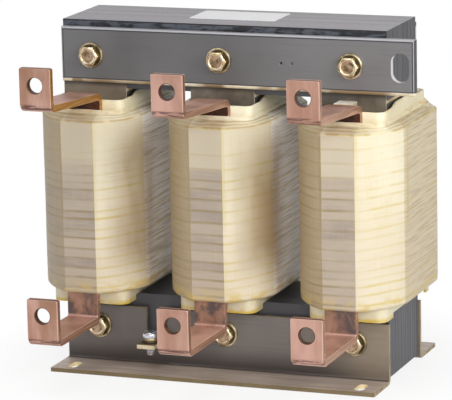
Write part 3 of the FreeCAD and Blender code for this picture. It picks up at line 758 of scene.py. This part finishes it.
class Taping:
    """The rows of one coil's taping, from its lower mouth up over the turns and the drawn-in end to
    its upper mouth, and back down inside."""

    def __init__(self, side, seed):
        self.outward = SIDES.index(side) - 1
        self.grey = {**GREY, "left": LEFT_SHADE_GREY} if side == "left" else GREY
        self.wrap = Layer(side + "_outer_wrap")
        self.winding = Layer(side + "_winding")
        self.seed = seed
        self.base = self.outline(0, 0)
        self.normals = outline_normals(self.base)
        self.room = self.outline(WRAP_WALL, WRAP_WALL)
        liner = Layer(side + "_liner", LINER_CORNER)
        self.head = self.outline(HEAD_SIDE_INSET, HEAD_FACE_INSET)
        self.foot = self.outline(FOOT_INSET, FOOT_INSET)
        self.upper_mouth = [meets(liner, p, q) for p, q in zip(self.base, self.head)]
        self.lower_mouth = [meets(liner, p, q) for p, q in zip(self.base, self.foot)]
        self.low_crease = self.winding.bottom - WRAP_LAP
        self.loops = []
        self.laps = []
        self.mouths = []
        self.turns = []
        self.wound = []

    def outline(self, side, face):
        """The coil's outline drawn in by side at the flanks and by face at the front and back."""
        return wrap_outline(self.wrap.half_width - side, self.wrap.front - face, self.wrap.back - face)

    def wave(self, p, z, scale, offset=0):
        return ripple(p.x, p.y, z, scale, self.seed + offset)

    def row(self, place, lap=0.0, mouth=0.0, turn=0.3, wound=0.0):
        """One row of points; place(i) gives column i's point and height from the coil's middle."""
        loop = []
        for i in range(len(self.base)):
            p, z = place(i)
            loop.append(Vector((self.wrap.x + p.x, p.y, z)))
            self.laps.append(lap * (0.8 + 0.45 * self.wave(p, z, 0.06, 20)))
            self.mouths.append(mouth)
        self.loops.append(loop)
        self.turns.append(turn)
        self.wound.append(wound)

    def slant(self, p, z):
        """How far the tape's edge is off level: a rise round the right shoulder, and a slow wander."""
        rise = 2.2 * smooth_step(p.x, FACET, self.wrap.half_width)
        wander = 0.85 * self.wave(p, z * 0.2, 0.02) + 0.3 * self.wave(p, z * 0.5, 0.08, 5)
        settled = smooth_step(z, self.low_crease, self.low_crease + 6.0)
        settled *= 1.0 - smooth_step(z, self.winding.top - 12.0, self.winding.top - 1.0)
        return (rise + wander) * settled

    def turn_row(self, z, relief, lap, turn):
        """A row on the wound face, standing out by relief, with a slight swell and pucker."""
        def place(i):
            p = self.base[i]
            swell = 0.12 * self.wave(p, z, 0.04, 9) - 0.1
            pucker = 0.07 * self.wave(p * 3, z * 0.2, 0.12, 3)
            q = p + self.normals[i] * (relief + swell + pucker)
            q.x = min(max(q.x, -self.wrap.half_width), self.wrap.half_width)
            return q, z + self.slant(p, z)
        self.row(place, lap, 0.0, turn, 1.0)

    def end_height(self, i, share):
        """Height of the drawn-in upper end, a share of the way from the crease to its edge. The crease is
        lowest over the facets and highest at the sides."""
        crest = self.winding.top + 2.6 - 2.0 * smooth_step(abs(self.base[i].y), 34.0, 60.0)
        return crest + (self.wrap.top - 0.4 - crest) * share

    def upper_row(self, share, lift, lap, mouth):
        """A row on the drawn-in upper end."""
        def place(i):
            p = self.base[i]
            height = self.end_height(i, share) + lift + 0.1 * self.wave(p, share * 9.0, 0.09, 31)
            return p.lerp(self.head[i], min(1.0, self.upper_mouth[i]) * share), min(height, self.wrap.top)
        self.row(place, lap, mouth)

    def lower_row(self, share, height, lap):
        """A row on the drawn-in lower end; a share above 1 runs on towards the liner."""
        def place(i):
            p = self.base[i]
            reach = share if share <= 1 else 1 + (share - 1) * (self.lower_mouth[i] - 1)
            wave = 0.1 * self.wave(p * 2, share * 9.0, 0.1, 33)
            return p.lerp(self.foot[i], reach), max(height + wave, self.wrap.bottom)
        self.row(place, lap)

    def mouth_row(self, towards, mouth, height):
        """A row close round the liner; height(i) gives column i's height."""
        self.row(lambda i: (self.base[i].lerp(towards[i], mouth[i]), height(i)), 0.0, 1.0)

    def levels(self, rng):
        """Heights of the turns' edges: close together low down, fewer near the top."""
        levels = []
        z = self.low_crease + rng.uniform(2.2, 3.4)
        while z < self.winding.top - 9.0:
            levels.append(z)
            high = smooth_step(z, 138.0, 156.0)
            z += rng.uniform(5.2, 8.4) + high * rng.uniform(2.0, 6.0)
        return levels

    def wind(self, rng):
        """The wound face: a step at each turn's edge, and an even stretch up to the next."""
        levels = self.levels(rng)
        for z, following in zip(levels, levels[1:] + [self.winding.top - 1.0]):
            before = self.turns[-1]
            turn = rng.random() ** 1.3
            if not TONED_FROM <= z <= TONED_TO:
                turn *= 0.35
            step = rng.uniform(0.03, 0.08)
            strength = rng.uniform(0.4, 1.0) * (1.0 - 0.45 * smooth_step(z, 140, 160))
            self.turn_row(z - 1.3, 0.0, 0.0, before)
            self.turn_row(z - 0.45, 0.01, 0.9 * strength, before)
            self.turn_row(z + 0.25, step, strength, turn)
            self.turn_row(z + 1.15, step, 0.0, turn)
            self.turn_row(z + 0.55 * (following - z), 0.45 * step, 0.0, turn)
        for below in (3.2, 1.0):
            self.turn_row(self.winding.top - below, 0.0, 0.0, 0.2)

    def build(self):
        """Adds the rows, from the lower mouth up over the outside and back down inside."""
        bottom = self.wrap.bottom
        inner_top, inner_bottom = self.winding.top + 0.2, self.low_crease + 0.7
        for height in (inner_bottom, bottom + 0.9):
            self.mouth_row(self.foot, self.lower_mouth, lambda i: height)
        for share, rise, lap in LOWER_ROWS:
            self.lower_row(share, bottom + rise, lap)
        self.wind(random.Random(self.seed))
        for row in UPPER_ROWS:
            self.upper_row(*row)
        for drop in (0.25, 1.6):
            self.mouth_row(self.head, self.upper_mouth, lambda i: self.end_height(i, 1.0) - drop)
        self.mouth_row(self.head, self.upper_mouth, lambda i: inner_top)
        for height in (inner_top, inner_bottom):
            self.row(lambda i: (self.room[i], height))

    def zone(self, i):
        """Where the face after column i lies: on the front facet, on a flank, or elsewhere."""
        middle = (self.base[i] + self.base[(i + 1) % len(self.base)]) / 2
        if abs(middle.x) < FACET:
            return "facet" if middle.y < 0 else "back"
        if middle.x < 0 and middle.y < -self.wrap.front + SIDE_DEPTH:
            return "left"
        if abs(middle.x) > self.wrap.half_width - 0.6:
            return "outer" if middle.x * self.outward > 0 else "inner"
        return "shoulder"

    def piece(self, name, material):
        """The closed mesh, its creases kept sharp beside the facets, with the marks its finish reads."""
        bm = bmesh.new()
        add_loops(bm, self.loops)
        piece = new_piece(name, bm, material, self.wrap.node, 50)
        count = len(self.base)
        creases = {i for i, p in enumerate(self.base) if abs(abs(p.x) - FACET) < 0.01}
        soft = {i for i, p in enumerate(self.base) if p.x * self.outward > 0 and p.y < 0
                and abs(p.y - self.base[0].y - SIDE_DEPTH) < 0.01}
        for edge in piece.data.edges:
            a, b = edge.vertices
            if a % count in creases and b % count == a % count:
                edge.use_edge_sharp = True
        zones = [self.zone(i) for i in range(count)]
        rng = random.Random(self.seed + 1)
        tint = {zone: rng.uniform(0.8, 1.0) for zone in GREY}
        worn = rng.uniform(0.5, 0.9)
        top = self.winding.top
        upper = top - 30.0
        marks = {"bar": [], "turn": [], "tan": [], "flank": [], "pale": []}
        for loop, wound, turn in zip(self.loops, self.wound, self.turns):
            z = loop[0].z
            grey = wound if z > upper else 0.5 + 0.5 * wound
            grey *= 1.0 - 0.5 * smooth_step(z, upper - 3.0, upper + 3.0)
            tan = 1.0 - 0.4 * smooth_step(z, top - 4.0, top + 2.0)
            for zone in zones:
                marks["bar"].append(self.grey[zone] * grey)
                marks["turn"].append(turn * tint[zone])
                marks["tan"].append(TAN_AND_SHADE[zone] * tan)
                marks["flank"].append(float(zone in ("outer", "inner")))
                # the inner flanks, which the finish lays nearly white as painted light
                marks["pale"].append(float(zone == "inner"))
        for kind, values in marks.items():
            mark(piece, "FACE", kind, values)
        rubbed = creases | soft
        for v in piece.data.vertices:
            if v.index % count in rubbed and self.wound[v.index // count]:
                wear = worn * (0.5 + ripple(0.0, v.co.y, v.co.z / MM, 0.05, 3))
                self.laps[v.index] = max(self.laps[v.index], wear)
        mark(piece, "POINT", "lap", self.laps)
        mark(piece, "POINT", "mouth", self.mouths)
        return piece


def rounded_outline(half_width, front, back, corner, breaks=()):
    """Points and outward normals around a round-cornered box, with extra points at breaks on its sides."""
    corner_steps, side_steps = 7, 12
    centres = [(half_width - corner, corner - front, -90), (half_width - corner, back - corner, 0),
               (corner - half_width, back - corner, 90), (corner - half_width, corner - front, 180)]
    points = []
    normals = []
    for k, (x, y, start) in enumerate(centres):
        for i in range(corner_steps + 1):
            angle = math.radians(start + 90 * i / corner_steps)
            normals.append(Vector((math.cos(angle), math.sin(angle))))
            points.append(Vector((x, y)) + normals[-1] * corner)
        last, normal = points[-1], normals[-1]
        following = Vector(centres[(k + 1) % 4][:2]) + normal * corner
        stops = [i / side_steps for i in range(1, side_steps)]
        if k % 2 == 0:
            stops += [(y - last.y) / (following.y - last.y) for y in breaks]
        for t in sorted(stops):
            points.append(last.lerp(following, t))
            normals.append(normal)
    return points, normals


def board_tube(name, layer, walls, bottom, top, material, seed, breaks=()):
    """A tube in one or more thin layers with slightly uneven ends. Each of walls is (inset, wall,
    drop of the top), and bottom(y) and top(y) give the ends' heights."""
    bm = bmesh.new()
    for k, (inset, wall, drop) in enumerate(walls):
        outer, normals = rounded_outline(layer.half_width - inset, layer.front - inset, layer.back - inset,
                                         layer.corner - inset, breaks)
        ends = {"lower": [], "upper": []}
        for end, rims in ends.items():
            for depth in (0.0, RIM_DEPTH, wall - RIM_DEPTH, wall):
                rounding = RIM_DROP if depth in (0.0, wall) else 0.0
                loop = []
                for p, n in zip(outer, normals):
                    q = p - n * depth
                    uneven = 0.22 * (ripple(p.x, p.y, k * 9.0, 0.1, seed + k) - 0.6)
                    z = top(p.y) - drop + uneven - rounding if end == "upper" else bottom(p.y) + rounding
                    loop.append(Vector((layer.x + q.x, q.y, z)))
                rims.append(loop)
        lower, upper = ends["lower"], ends["upper"]
        outside = [[a.lerp(b, t) for a, b in zip(lower[0], upper[0])] for t in (0.25, 0.5, 0.75)]
        inside = [[a.lerp(b, t) for a, b in zip(upper[3], lower[3])] for t in (0.3, 0.7)]
        add_loops(bm, lower[2::-1] + outside + upper + inside + lower[3:])
    new_piece(name, bm, material, layer.node, 50)


def make_former(side, material, seed):
    """The tube on the leg, a step higher beside the leg than in front of it and behind it."""
    layer = Layer(side + "_former", FORMER_CORNER)
    step, slope_start, slope_end = 2.7, 17.0, 30.0

    def top(y):
        return layer.top - step * smooth_step(abs(y), slope_start, slope_end)

    breaks = [sign * y for sign in (-1, 1) for y in (18.5, 20.5, 22.5, 25.0, 27.5)]
    walls = [(0.0, FORMER_WALL, 0.0)]
    board_tube(side + "_former_tube", layer, walls, lambda y: layer.bottom, top, material, seed, breaks)


def make_liner(side, material, seed):
    """The sleeve over the former and the upper bar, in thin layers, hanging lower clear of the yoke."""
    layer = Layer(side + "_liner", LINER_CORNER)
    yoke_top = limits("lower_yoke")[1].z
    wall = LINER_WALL / len(LINER_DROPS)

    def bottom(y):
        return layer.bottom if abs(y) > LINER_NOTCH else yoke_top + 0.05

    walls = [(k * wall, wall - 0.04, drop) for k, drop in enumerate(LINER_DROPS)]
    breaks = [sign * (LINER_NOTCH + offset) for sign in (-1, 1) for offset in (-0.05, 0.05)]
    board_tube(side + "_liner_sleeve", layer, walls, bottom, lambda y: layer.top, material, seed, breaks)


def make_coils():
    tape = tape_finish()
    former_board = board_finish("former board", "left_former")
    liner_board = board_finish("liner board", "left_liner")
    stick = stick_finish()
    winding = winding_finish()
    for k, side in enumerate(SIDES):
        seed = 11 + 17 * k
        taping = Taping(side, seed)
        taping.build()
        taping.piece(side + "_taping", tape)
        make_former(side, former_board, seed)
        make_liner(side, liner_board, seed + 40)
        bevelled(side + "_stick_set", side + "_duct_sticks", 0.4, stick)
        finish_node(side + "_winding", winding)


# Fasteners

HEX_ACROSS = 12.96
HEX_CORNER = 7.48
HEAD_HEIGHT = 5.3
NUT_HEIGHT = 6.5
WASHER = 2.0
THREAD_PITCH = 1.25
SHANK, THREAD_CREST, THREAD_ROOT = 3.95, 3.96, 3.45
EARTH_CREST, EARTH_ROOT, EARTH_PITCH = 2.95, 2.5, 1.0
HEX_STEPS, RING_STEPS, ROUND_STEPS, SHANK_STEPS, SPRING_STEPS = 72, 56, 48, 32, 44
UNSHADED_RADIUS, HALF_SHADED_RADIUS = 9.0, 7.7   # radius marks for washers that show no painted shade in the middle, or some of it
# Profiles: radius and height
HEAD = [(0, 0.0), (7.0, 0.0), (HEX_CORNER, 0.15), (HEX_CORNER, 3.9), (6.9, 4.35), (6.3, 4.8), (5.75, 5.22),
        (5.45, 5.28), (5.1, 5.18), (4.5, 4.75), (4.1, 4.66), (2.5, 4.62), (0, 4.6)]
NUT = [(4.25, 0.0), (7.0, 0.0), (HEX_CORNER, 0.35), (HEX_CORNER, 5.8), (7.2, 6.2), (6.9, 6.42), (6.2, 6.46),
       (5.0, 6.46), (4.25, 5.9), (4.25, 0.0)]
WASHER_RING = [(4.5, 0.02), (8.6, 0.02), (8.95, 0.25), (9.0, 0.6), (9.0, 1.4), (8.9, 1.75), (8.6, 1.96),
               (8.2, 1.97), (7.6, 1.98), (4.9, 1.98), (4.5, 1.7), (4.5, 0.02)]


def turned(bm, profile, centre, axis, count, flats=None):
    """Loops turned round an axis from (radius, height) pairs; flats is a hexagon's width across flats."""
    axis = Vector(axis)
    side = Vector((1.0, 0.0, 0.0))
    other = axis.cross(side)
    centre = Vector(centre)
    loops = []
    for radius, height in profile:
        loop = []
        for i in range(count if radius else 1):
            angle = 2 * math.pi * i / count
            reach = radius
            if flats:
                reach = min(radius, flats / 2 / math.cos(angle % (math.pi / 3) - math.pi / 6))
            way = side * math.cos(angle) + other * math.sin(angle)
            loop.append(centre + way * reach + axis * height)
        loops.append(loop)
    add_loops(bm, loops, closed=False)
    bmesh.ops.recalc_face_normals(bm, faces=bm.faces)


def bolt_rows():
    """For the upper and the lower bolts: the name, the height, and the clamp's face on which they bear."""
    rows = []
    for level in ("upper", "lower"):
        low, high = limits(level + "_bolts")
        rows.append((level, (low.z + high.z) / 2, -low.y - HEAD_HEIGHT - WASHER))
    return rows


def thread(start, end, pitch, crest, root):
    """A cut thread's profile from start towards end, with a pitch below 0 where it runs down."""
    profile = []
    while (end - start) * pitch > 0:
        profile += [(crest, start), (root, start + pitch / 2)]
        start += pitch
    return profile


def threaded_shank(bm, x, height, face):
    """A plain shank through the yoke, and a cut thread past the nut."""
    inside_head = -face - WASHER - 1.0
    start = face + 1.5
    end = face + WASHER + NUT_HEIGHT + 0.5
    profile = [(0, inside_head), (SHANK, inside_head), (SHANK, start)]
    profile += thread(start, end - 0.9, THREAD_PITCH, THREAD_CREST, THREAD_ROOT)
    profile += [(3.6, end - 0.7), (3.1, end - 0.05), (0, end - 0.05)]
    turned(bm, profile, (x, 0, height), (0, 1, 0), SHANK_STEPS)


def fasten(zinc, pale):
    """Bolts with dished hexagon heads, threaded ends, nuts and washers, in groups as in the model."""
    places = [Layer(side + "_leg").x for side in SIDES]
    for level, height, face in bolt_rows():
        bolts, nuts = bmesh.new(), bmesh.new()
        for x in places:
            turned(bolts, HEAD, (x, -face - WASHER, height), (0, -1, 0), HEX_STEPS, HEX_ACROSS)
            threaded_shank(bolts, x, height, face)
            turned(nuts, NUT, (x, face + WASHER, height), (0, 1, 0), HEX_STEPS, HEX_ACROSS)
        new_piece(level + "_bolt_set", bolts, zinc, level + "_bolts", 22)
        new_piece(level + "_nut_set", nuts, zinc, level + "_nuts", 22)
    for way, end in ((-1, "front"), (1, "rear")):
        bm = bmesh.new()
        axes = []
        for level, height, face in bolt_rows():
            for x in places:
                turned(bm, WASHER_RING, (x, way * face, height), (0, way, 0), RING_STEPS)
                axes.append(Vector((x, height)))
        piece = new_piece(end + "_washer_set", bm, pale, end + "_washers", 35)
        # each point's distance from its bolt, from which the washer finish paints shade under the head
        spots = [Vector((v.co.x, v.co.z)) / MM for v in piece.data.vertices]
        mark(piece, "POINT", "radius", [min((spot - axis).length for axis in axes) for spot in spots])


def plan_middle(node):
    """A node's middle seen from above, at the floor's height."""
    low, high = limits(node)
    return Vector(((low.x + high.x) / 2, (low.y + high.y) / 2, 0))


def earth_screw(bright):
    """A round slotted head, and a threaded shank whose point shows below the tab."""
    low, high = limits("earth_screw")
    seat = limits("earth_flat_washer")[1].z
    centre = plan_middle("earth_screw")
    half_slot, floor = 0.7, high.z - 1.6
    profile = [(0, high.z), (2.0, high.z - 0.07), (3.6, high.z - 0.3), (4.8, high.z - 0.8),
               (5.6, high.z - 1.6), (5.93, high.z - 2.6), (5.95, seat + 0.6), (5.7, seat + 0.05),
               (3.1, seat + 0.02), (EARTH_CREST, seat - 0.4)]
    profile += thread(seat - 0.6, low.z + 1.0, -EARTH_PITCH, EARTH_CREST, EARTH_ROOT)
    profile += [(2.6, low.z + 0.7), (2.2, low.z + 0.05), (0, low.z + 0.05)]
    bm = bmesh.new()
    turned(bm, profile, centre, (0, 0, 1), ROUND_STEPS)
    for offset in (-half_slot, 0.05 - half_slot, half_slot - 0.05, half_slot):
        place = Vector((0, centre.y + offset, 0)) * MM
        whole = bm.verts[:] + bm.edges[:] + bm.faces[:]
        bmesh.ops.bisect_plane(bm, geom=whole, plane_co=place, plane_no=(0, 1, 0))
    for v in bm.verts:
        if abs(v.co.y / MM - centre.y) < half_slot - 0.02 and v.co.z > floor * MM:
            v.co.z = floor * MM
    new_piece("earth_screw_round", bm, bright, "earth_screw", 38)


def earth_flat_ring(zinc):
    """A flat washer with rounded rims."""
    low, high = limits("earth_flat_washer")
    outer = (high.x - low.x) / 2
    profile = [(3.25, low.z + 0.02), (outer - 0.2, low.z + 0.02), (outer - 0.02, low.z + 0.3),
               (outer - 0.02, high.z - 0.3), (outer - 0.2, high.z - 0.02), (3.4, high.z - 0.02),
               (3.25, high.z - 0.3), (3.25, low.z + 0.02)]
    bm = bmesh.new()
    turned(bm, profile, plan_middle("earth_flat_washer"), (0, 0, 1), ROUND_STEPS)
    ring = new_piece("earth_flat_ring", bm, zinc, "earth_flat_washer", 35)
    mark(ring, "POINT", "radius", [UNSHADED_RADIUS] * len(ring.data.vertices))


def earth_spring_ring(zinc):
    """A spring washer, split and slightly twisted."""
    low, high = limits("earth_lock_washer")
    centre = plan_middle("earth_flat_washer")
    bore, outer = 3.3, (high.x - low.x) / 2 - 0.05
    section = ((bore, low.z + 0.25), (outer, low.z + 0.25), (outer, high.z - 0.25), (bore, high.z - 0.25))
    loops = []
    for i in range(SPRING_STEPS):
        t = i / (SPRING_STEPS - 1)
        angle = math.radians(6 + 348 * t)
        lift = 0.35 * (t - 0.5)
        way = Vector((math.cos(angle), math.sin(angle), 0))
        loops.append([centre + way * radius + Vector((0, 0, height + lift)) for radius, height in section])
    bm = bmesh.new()
    rows = add_loops(bm, loops, closed=False)
    bm.faces.new(rows[0][::-1])
    bm.faces.new(rows[-1])
    bmesh.ops.recalc_face_normals(bm, faces=bm.faces)
    ring = new_piece("earth_spring_ring", bm, zinc, "earth_lock_washer", 40)
    # the radius mark darkens the whole spring washer as painted shade between the flat washer and the tab
    mark(ring, "POINT", "radius", [HALF_SHADED_RADIUS] * len(ring.data.vertices))


# Core, clamps, terminals and label

SHEETS = 52
SHEET_DROP, SHEET_SHORT = 0.09, 0.14   # how much lower and shorter a sheet may be


def laminated_yoke(name, node, seed, material):
    """A stack of sheets whose edges lie slightly uneven."""
    rng = random.Random(seed)
    low, high = limits(node)
    pitch = (high.y - low.y) / SHEETS
    bm = bmesh.new()
    for i in range(SHEETS):
        outermost = i in (0, SHEETS - 1)
        drop = 0.0 if outermost else rng.uniform(0.0, SHEET_DROP)
        short = 0.0 if outermost else rng.uniform(0.0, SHEET_SHORT)
        start = Vector((low.x + short, low.y + i * pitch, low.z + drop / 2))
        end = Vector((high.x - short, low.y + (i + 1) * pitch, high.z - drop))
        place = Matrix.Translation((start + end) / 2 * MM)
        bmesh.ops.create_cube(bm, size=1.0, matrix=place @ Matrix.Diagonal((end - start) * MM).to_4x4())
    new_piece(name, bm, material, node)


def make_terminals():
    """Rounded copper bars; the finish of each row knows its own bend and its darkened stretch: painted shade
    under the strip on the upper row, a stain on the lower row.
    """
    strip = limits("left_finish_terminal")[0].z
    wrap = limits("left_outer_wrap")[0]
    liner = limits("left_liner")[0]
    start_top = limits("left_start_terminal")[1].z
    start_bend = start_top - 28.5
    hole_levels = {"start": start_top - 12.0, "finish": strip + 22.0}
    hole_reach = 6.3
    # the upper row's colours of painted shade under the strip, and the lower row's stain
    shade = ((0.085, 0.026, 0.012), (0.016, 0.008, 0.006))
    smoke = ((0.31, 0.175, 0.115), (0.075, 0.066, 0.072))
    upper = copper_finish("upper copper", start_bend, start_bend - 18, start_bend - 3, liner.y - 3, 0.96,
                          shade)
    lower = copper_finish("lower copper", strip + 2, strip + 7, wrap.z + 5, wrap.y - 1, 0.72, smoke)
    for side in SIDES:
        for end, material in (("start", upper), ("finish", lower)):
            name = side + "_" + end
            piece = bevelled(name + "_bar", name + "_terminal", 0.8, material, segments=3)
            axis = Vector((Layer(side + "_leg").x, hole_levels[end]))
            # marks the holes' walls, which the finish darkens as painted shade
            spots = [Vector((face.center.x, face.center.z)) / MM for face in piece.data.polygons]
            mark(piece, "FACE", "bore", [float((spot - axis).length < hole_reach) for spot in spots])


def blank_label(material):
    """A thin film with round corners that lies a little unevenly."""
    low, high = limits("blank_label")
    centre = (low + high) / 2
    half_width, half_depth = (high.x - low.x) / 2, (high.y - low.y) / 2
    columns, corner = 32, 1.6
    bm = bmesh.new()
    bmesh.ops.create_grid(bm, x_segments=columns, y_segments=18, size=1.0)
    film = bm.verts[:]
    for v in film:
        x = v.co.x * half_width
        y = v.co.y * half_depth
        inward = Vector((corner - half_width + abs(x), corner - half_depth + abs(y)))
        if inward.x > 0 and inward.y > 0 and inward.length > corner:
            inward = inward.normalized() * corner
            x = math.copysign(half_width - corner + inward.x, x)
            y = math.copysign(half_depth - corner + inward.y, y)
        lift = 0.06 * ripple(x, y, 0, 0.08, 4) - 0.11
        v.co = Vector((centre.x + x, centre.y + y, high.z + lift)) * MM
    rows = [film[start:start + columns + 1] for start in range(0, len(film), columns + 1)]
    rim = rows[0] + [row[-1] for row in rows[1:]] + rows[-1][-2::-1] + [row[0] for row in rows[-2:0:-1]]
    under = [bm.verts.new((v.co.x, v.co.y, (low.z + 0.02) * MM)) for v in rim]
    for i in range(len(rim)):
        j = (i + 1) % len(rim)
        bm.faces.new((under[i], under[j], rim[j], rim[i]))
    bm.faces.new(under[::-1])
    new_piece("label_film_blank", bm, material, "blank_label", 40)


def finish_node(name, material):
    """Gives a carried-over node its material."""
    data = nodes[name].data
    data.materials.clear()
    data.materials.append(material)


def build():
    core = core_finish()
    upper_steel = upper_steel_finish()
    lower_steel = lower_steel_finish()
    tie = tie_finish()
    board = plain_board_finish("gap board", (0.5, 0.38, 0.2), (0.7, 0.58, 0.36))
    tube = plain_board_finish("paper tube", (0.55, 0.45, 0.28), (0.74, 0.66, 0.46))
    zinc = zinc_finish()
    pale = washer_finish()
    laminated_yoke("upper_yoke_sheets", "upper_yoke", 3, core)
    laminated_yoke("lower_yoke_sheets", "lower_yoke", 5, core)
    for side in SIDES:
        finish_node(side + "_leg", core)
    for level in ("lower", "upper"):
        finish_node(level + "_gap_plates", board)
        finish_node(level + "_bolt_insulators", tube)
    for end in ("front", "rear"):
        finish_node(end + "_tie_plates", tie)
        bevelled(end + "_upper_clamp_bar", end + "_upper_clamp", 0.25, upper_steel)
        bevelled(end + "_lower_clamp_angle", end + "_lower_clamp", 0.35, lower_steel)
    make_terminals()
    make_coils()
    fasten(zinc, pale)
    earth_screw(bright_zinc_finish())
    earth_flat_ring(pale)
    earth_spring_ring(pale)
    blank_label(label_finish())


bpy.context.scene.view_settings.view_transform = "Standard"
aim_camera()
light_scene()
lay_floor()
build()

bpy.context.view_layer.update()
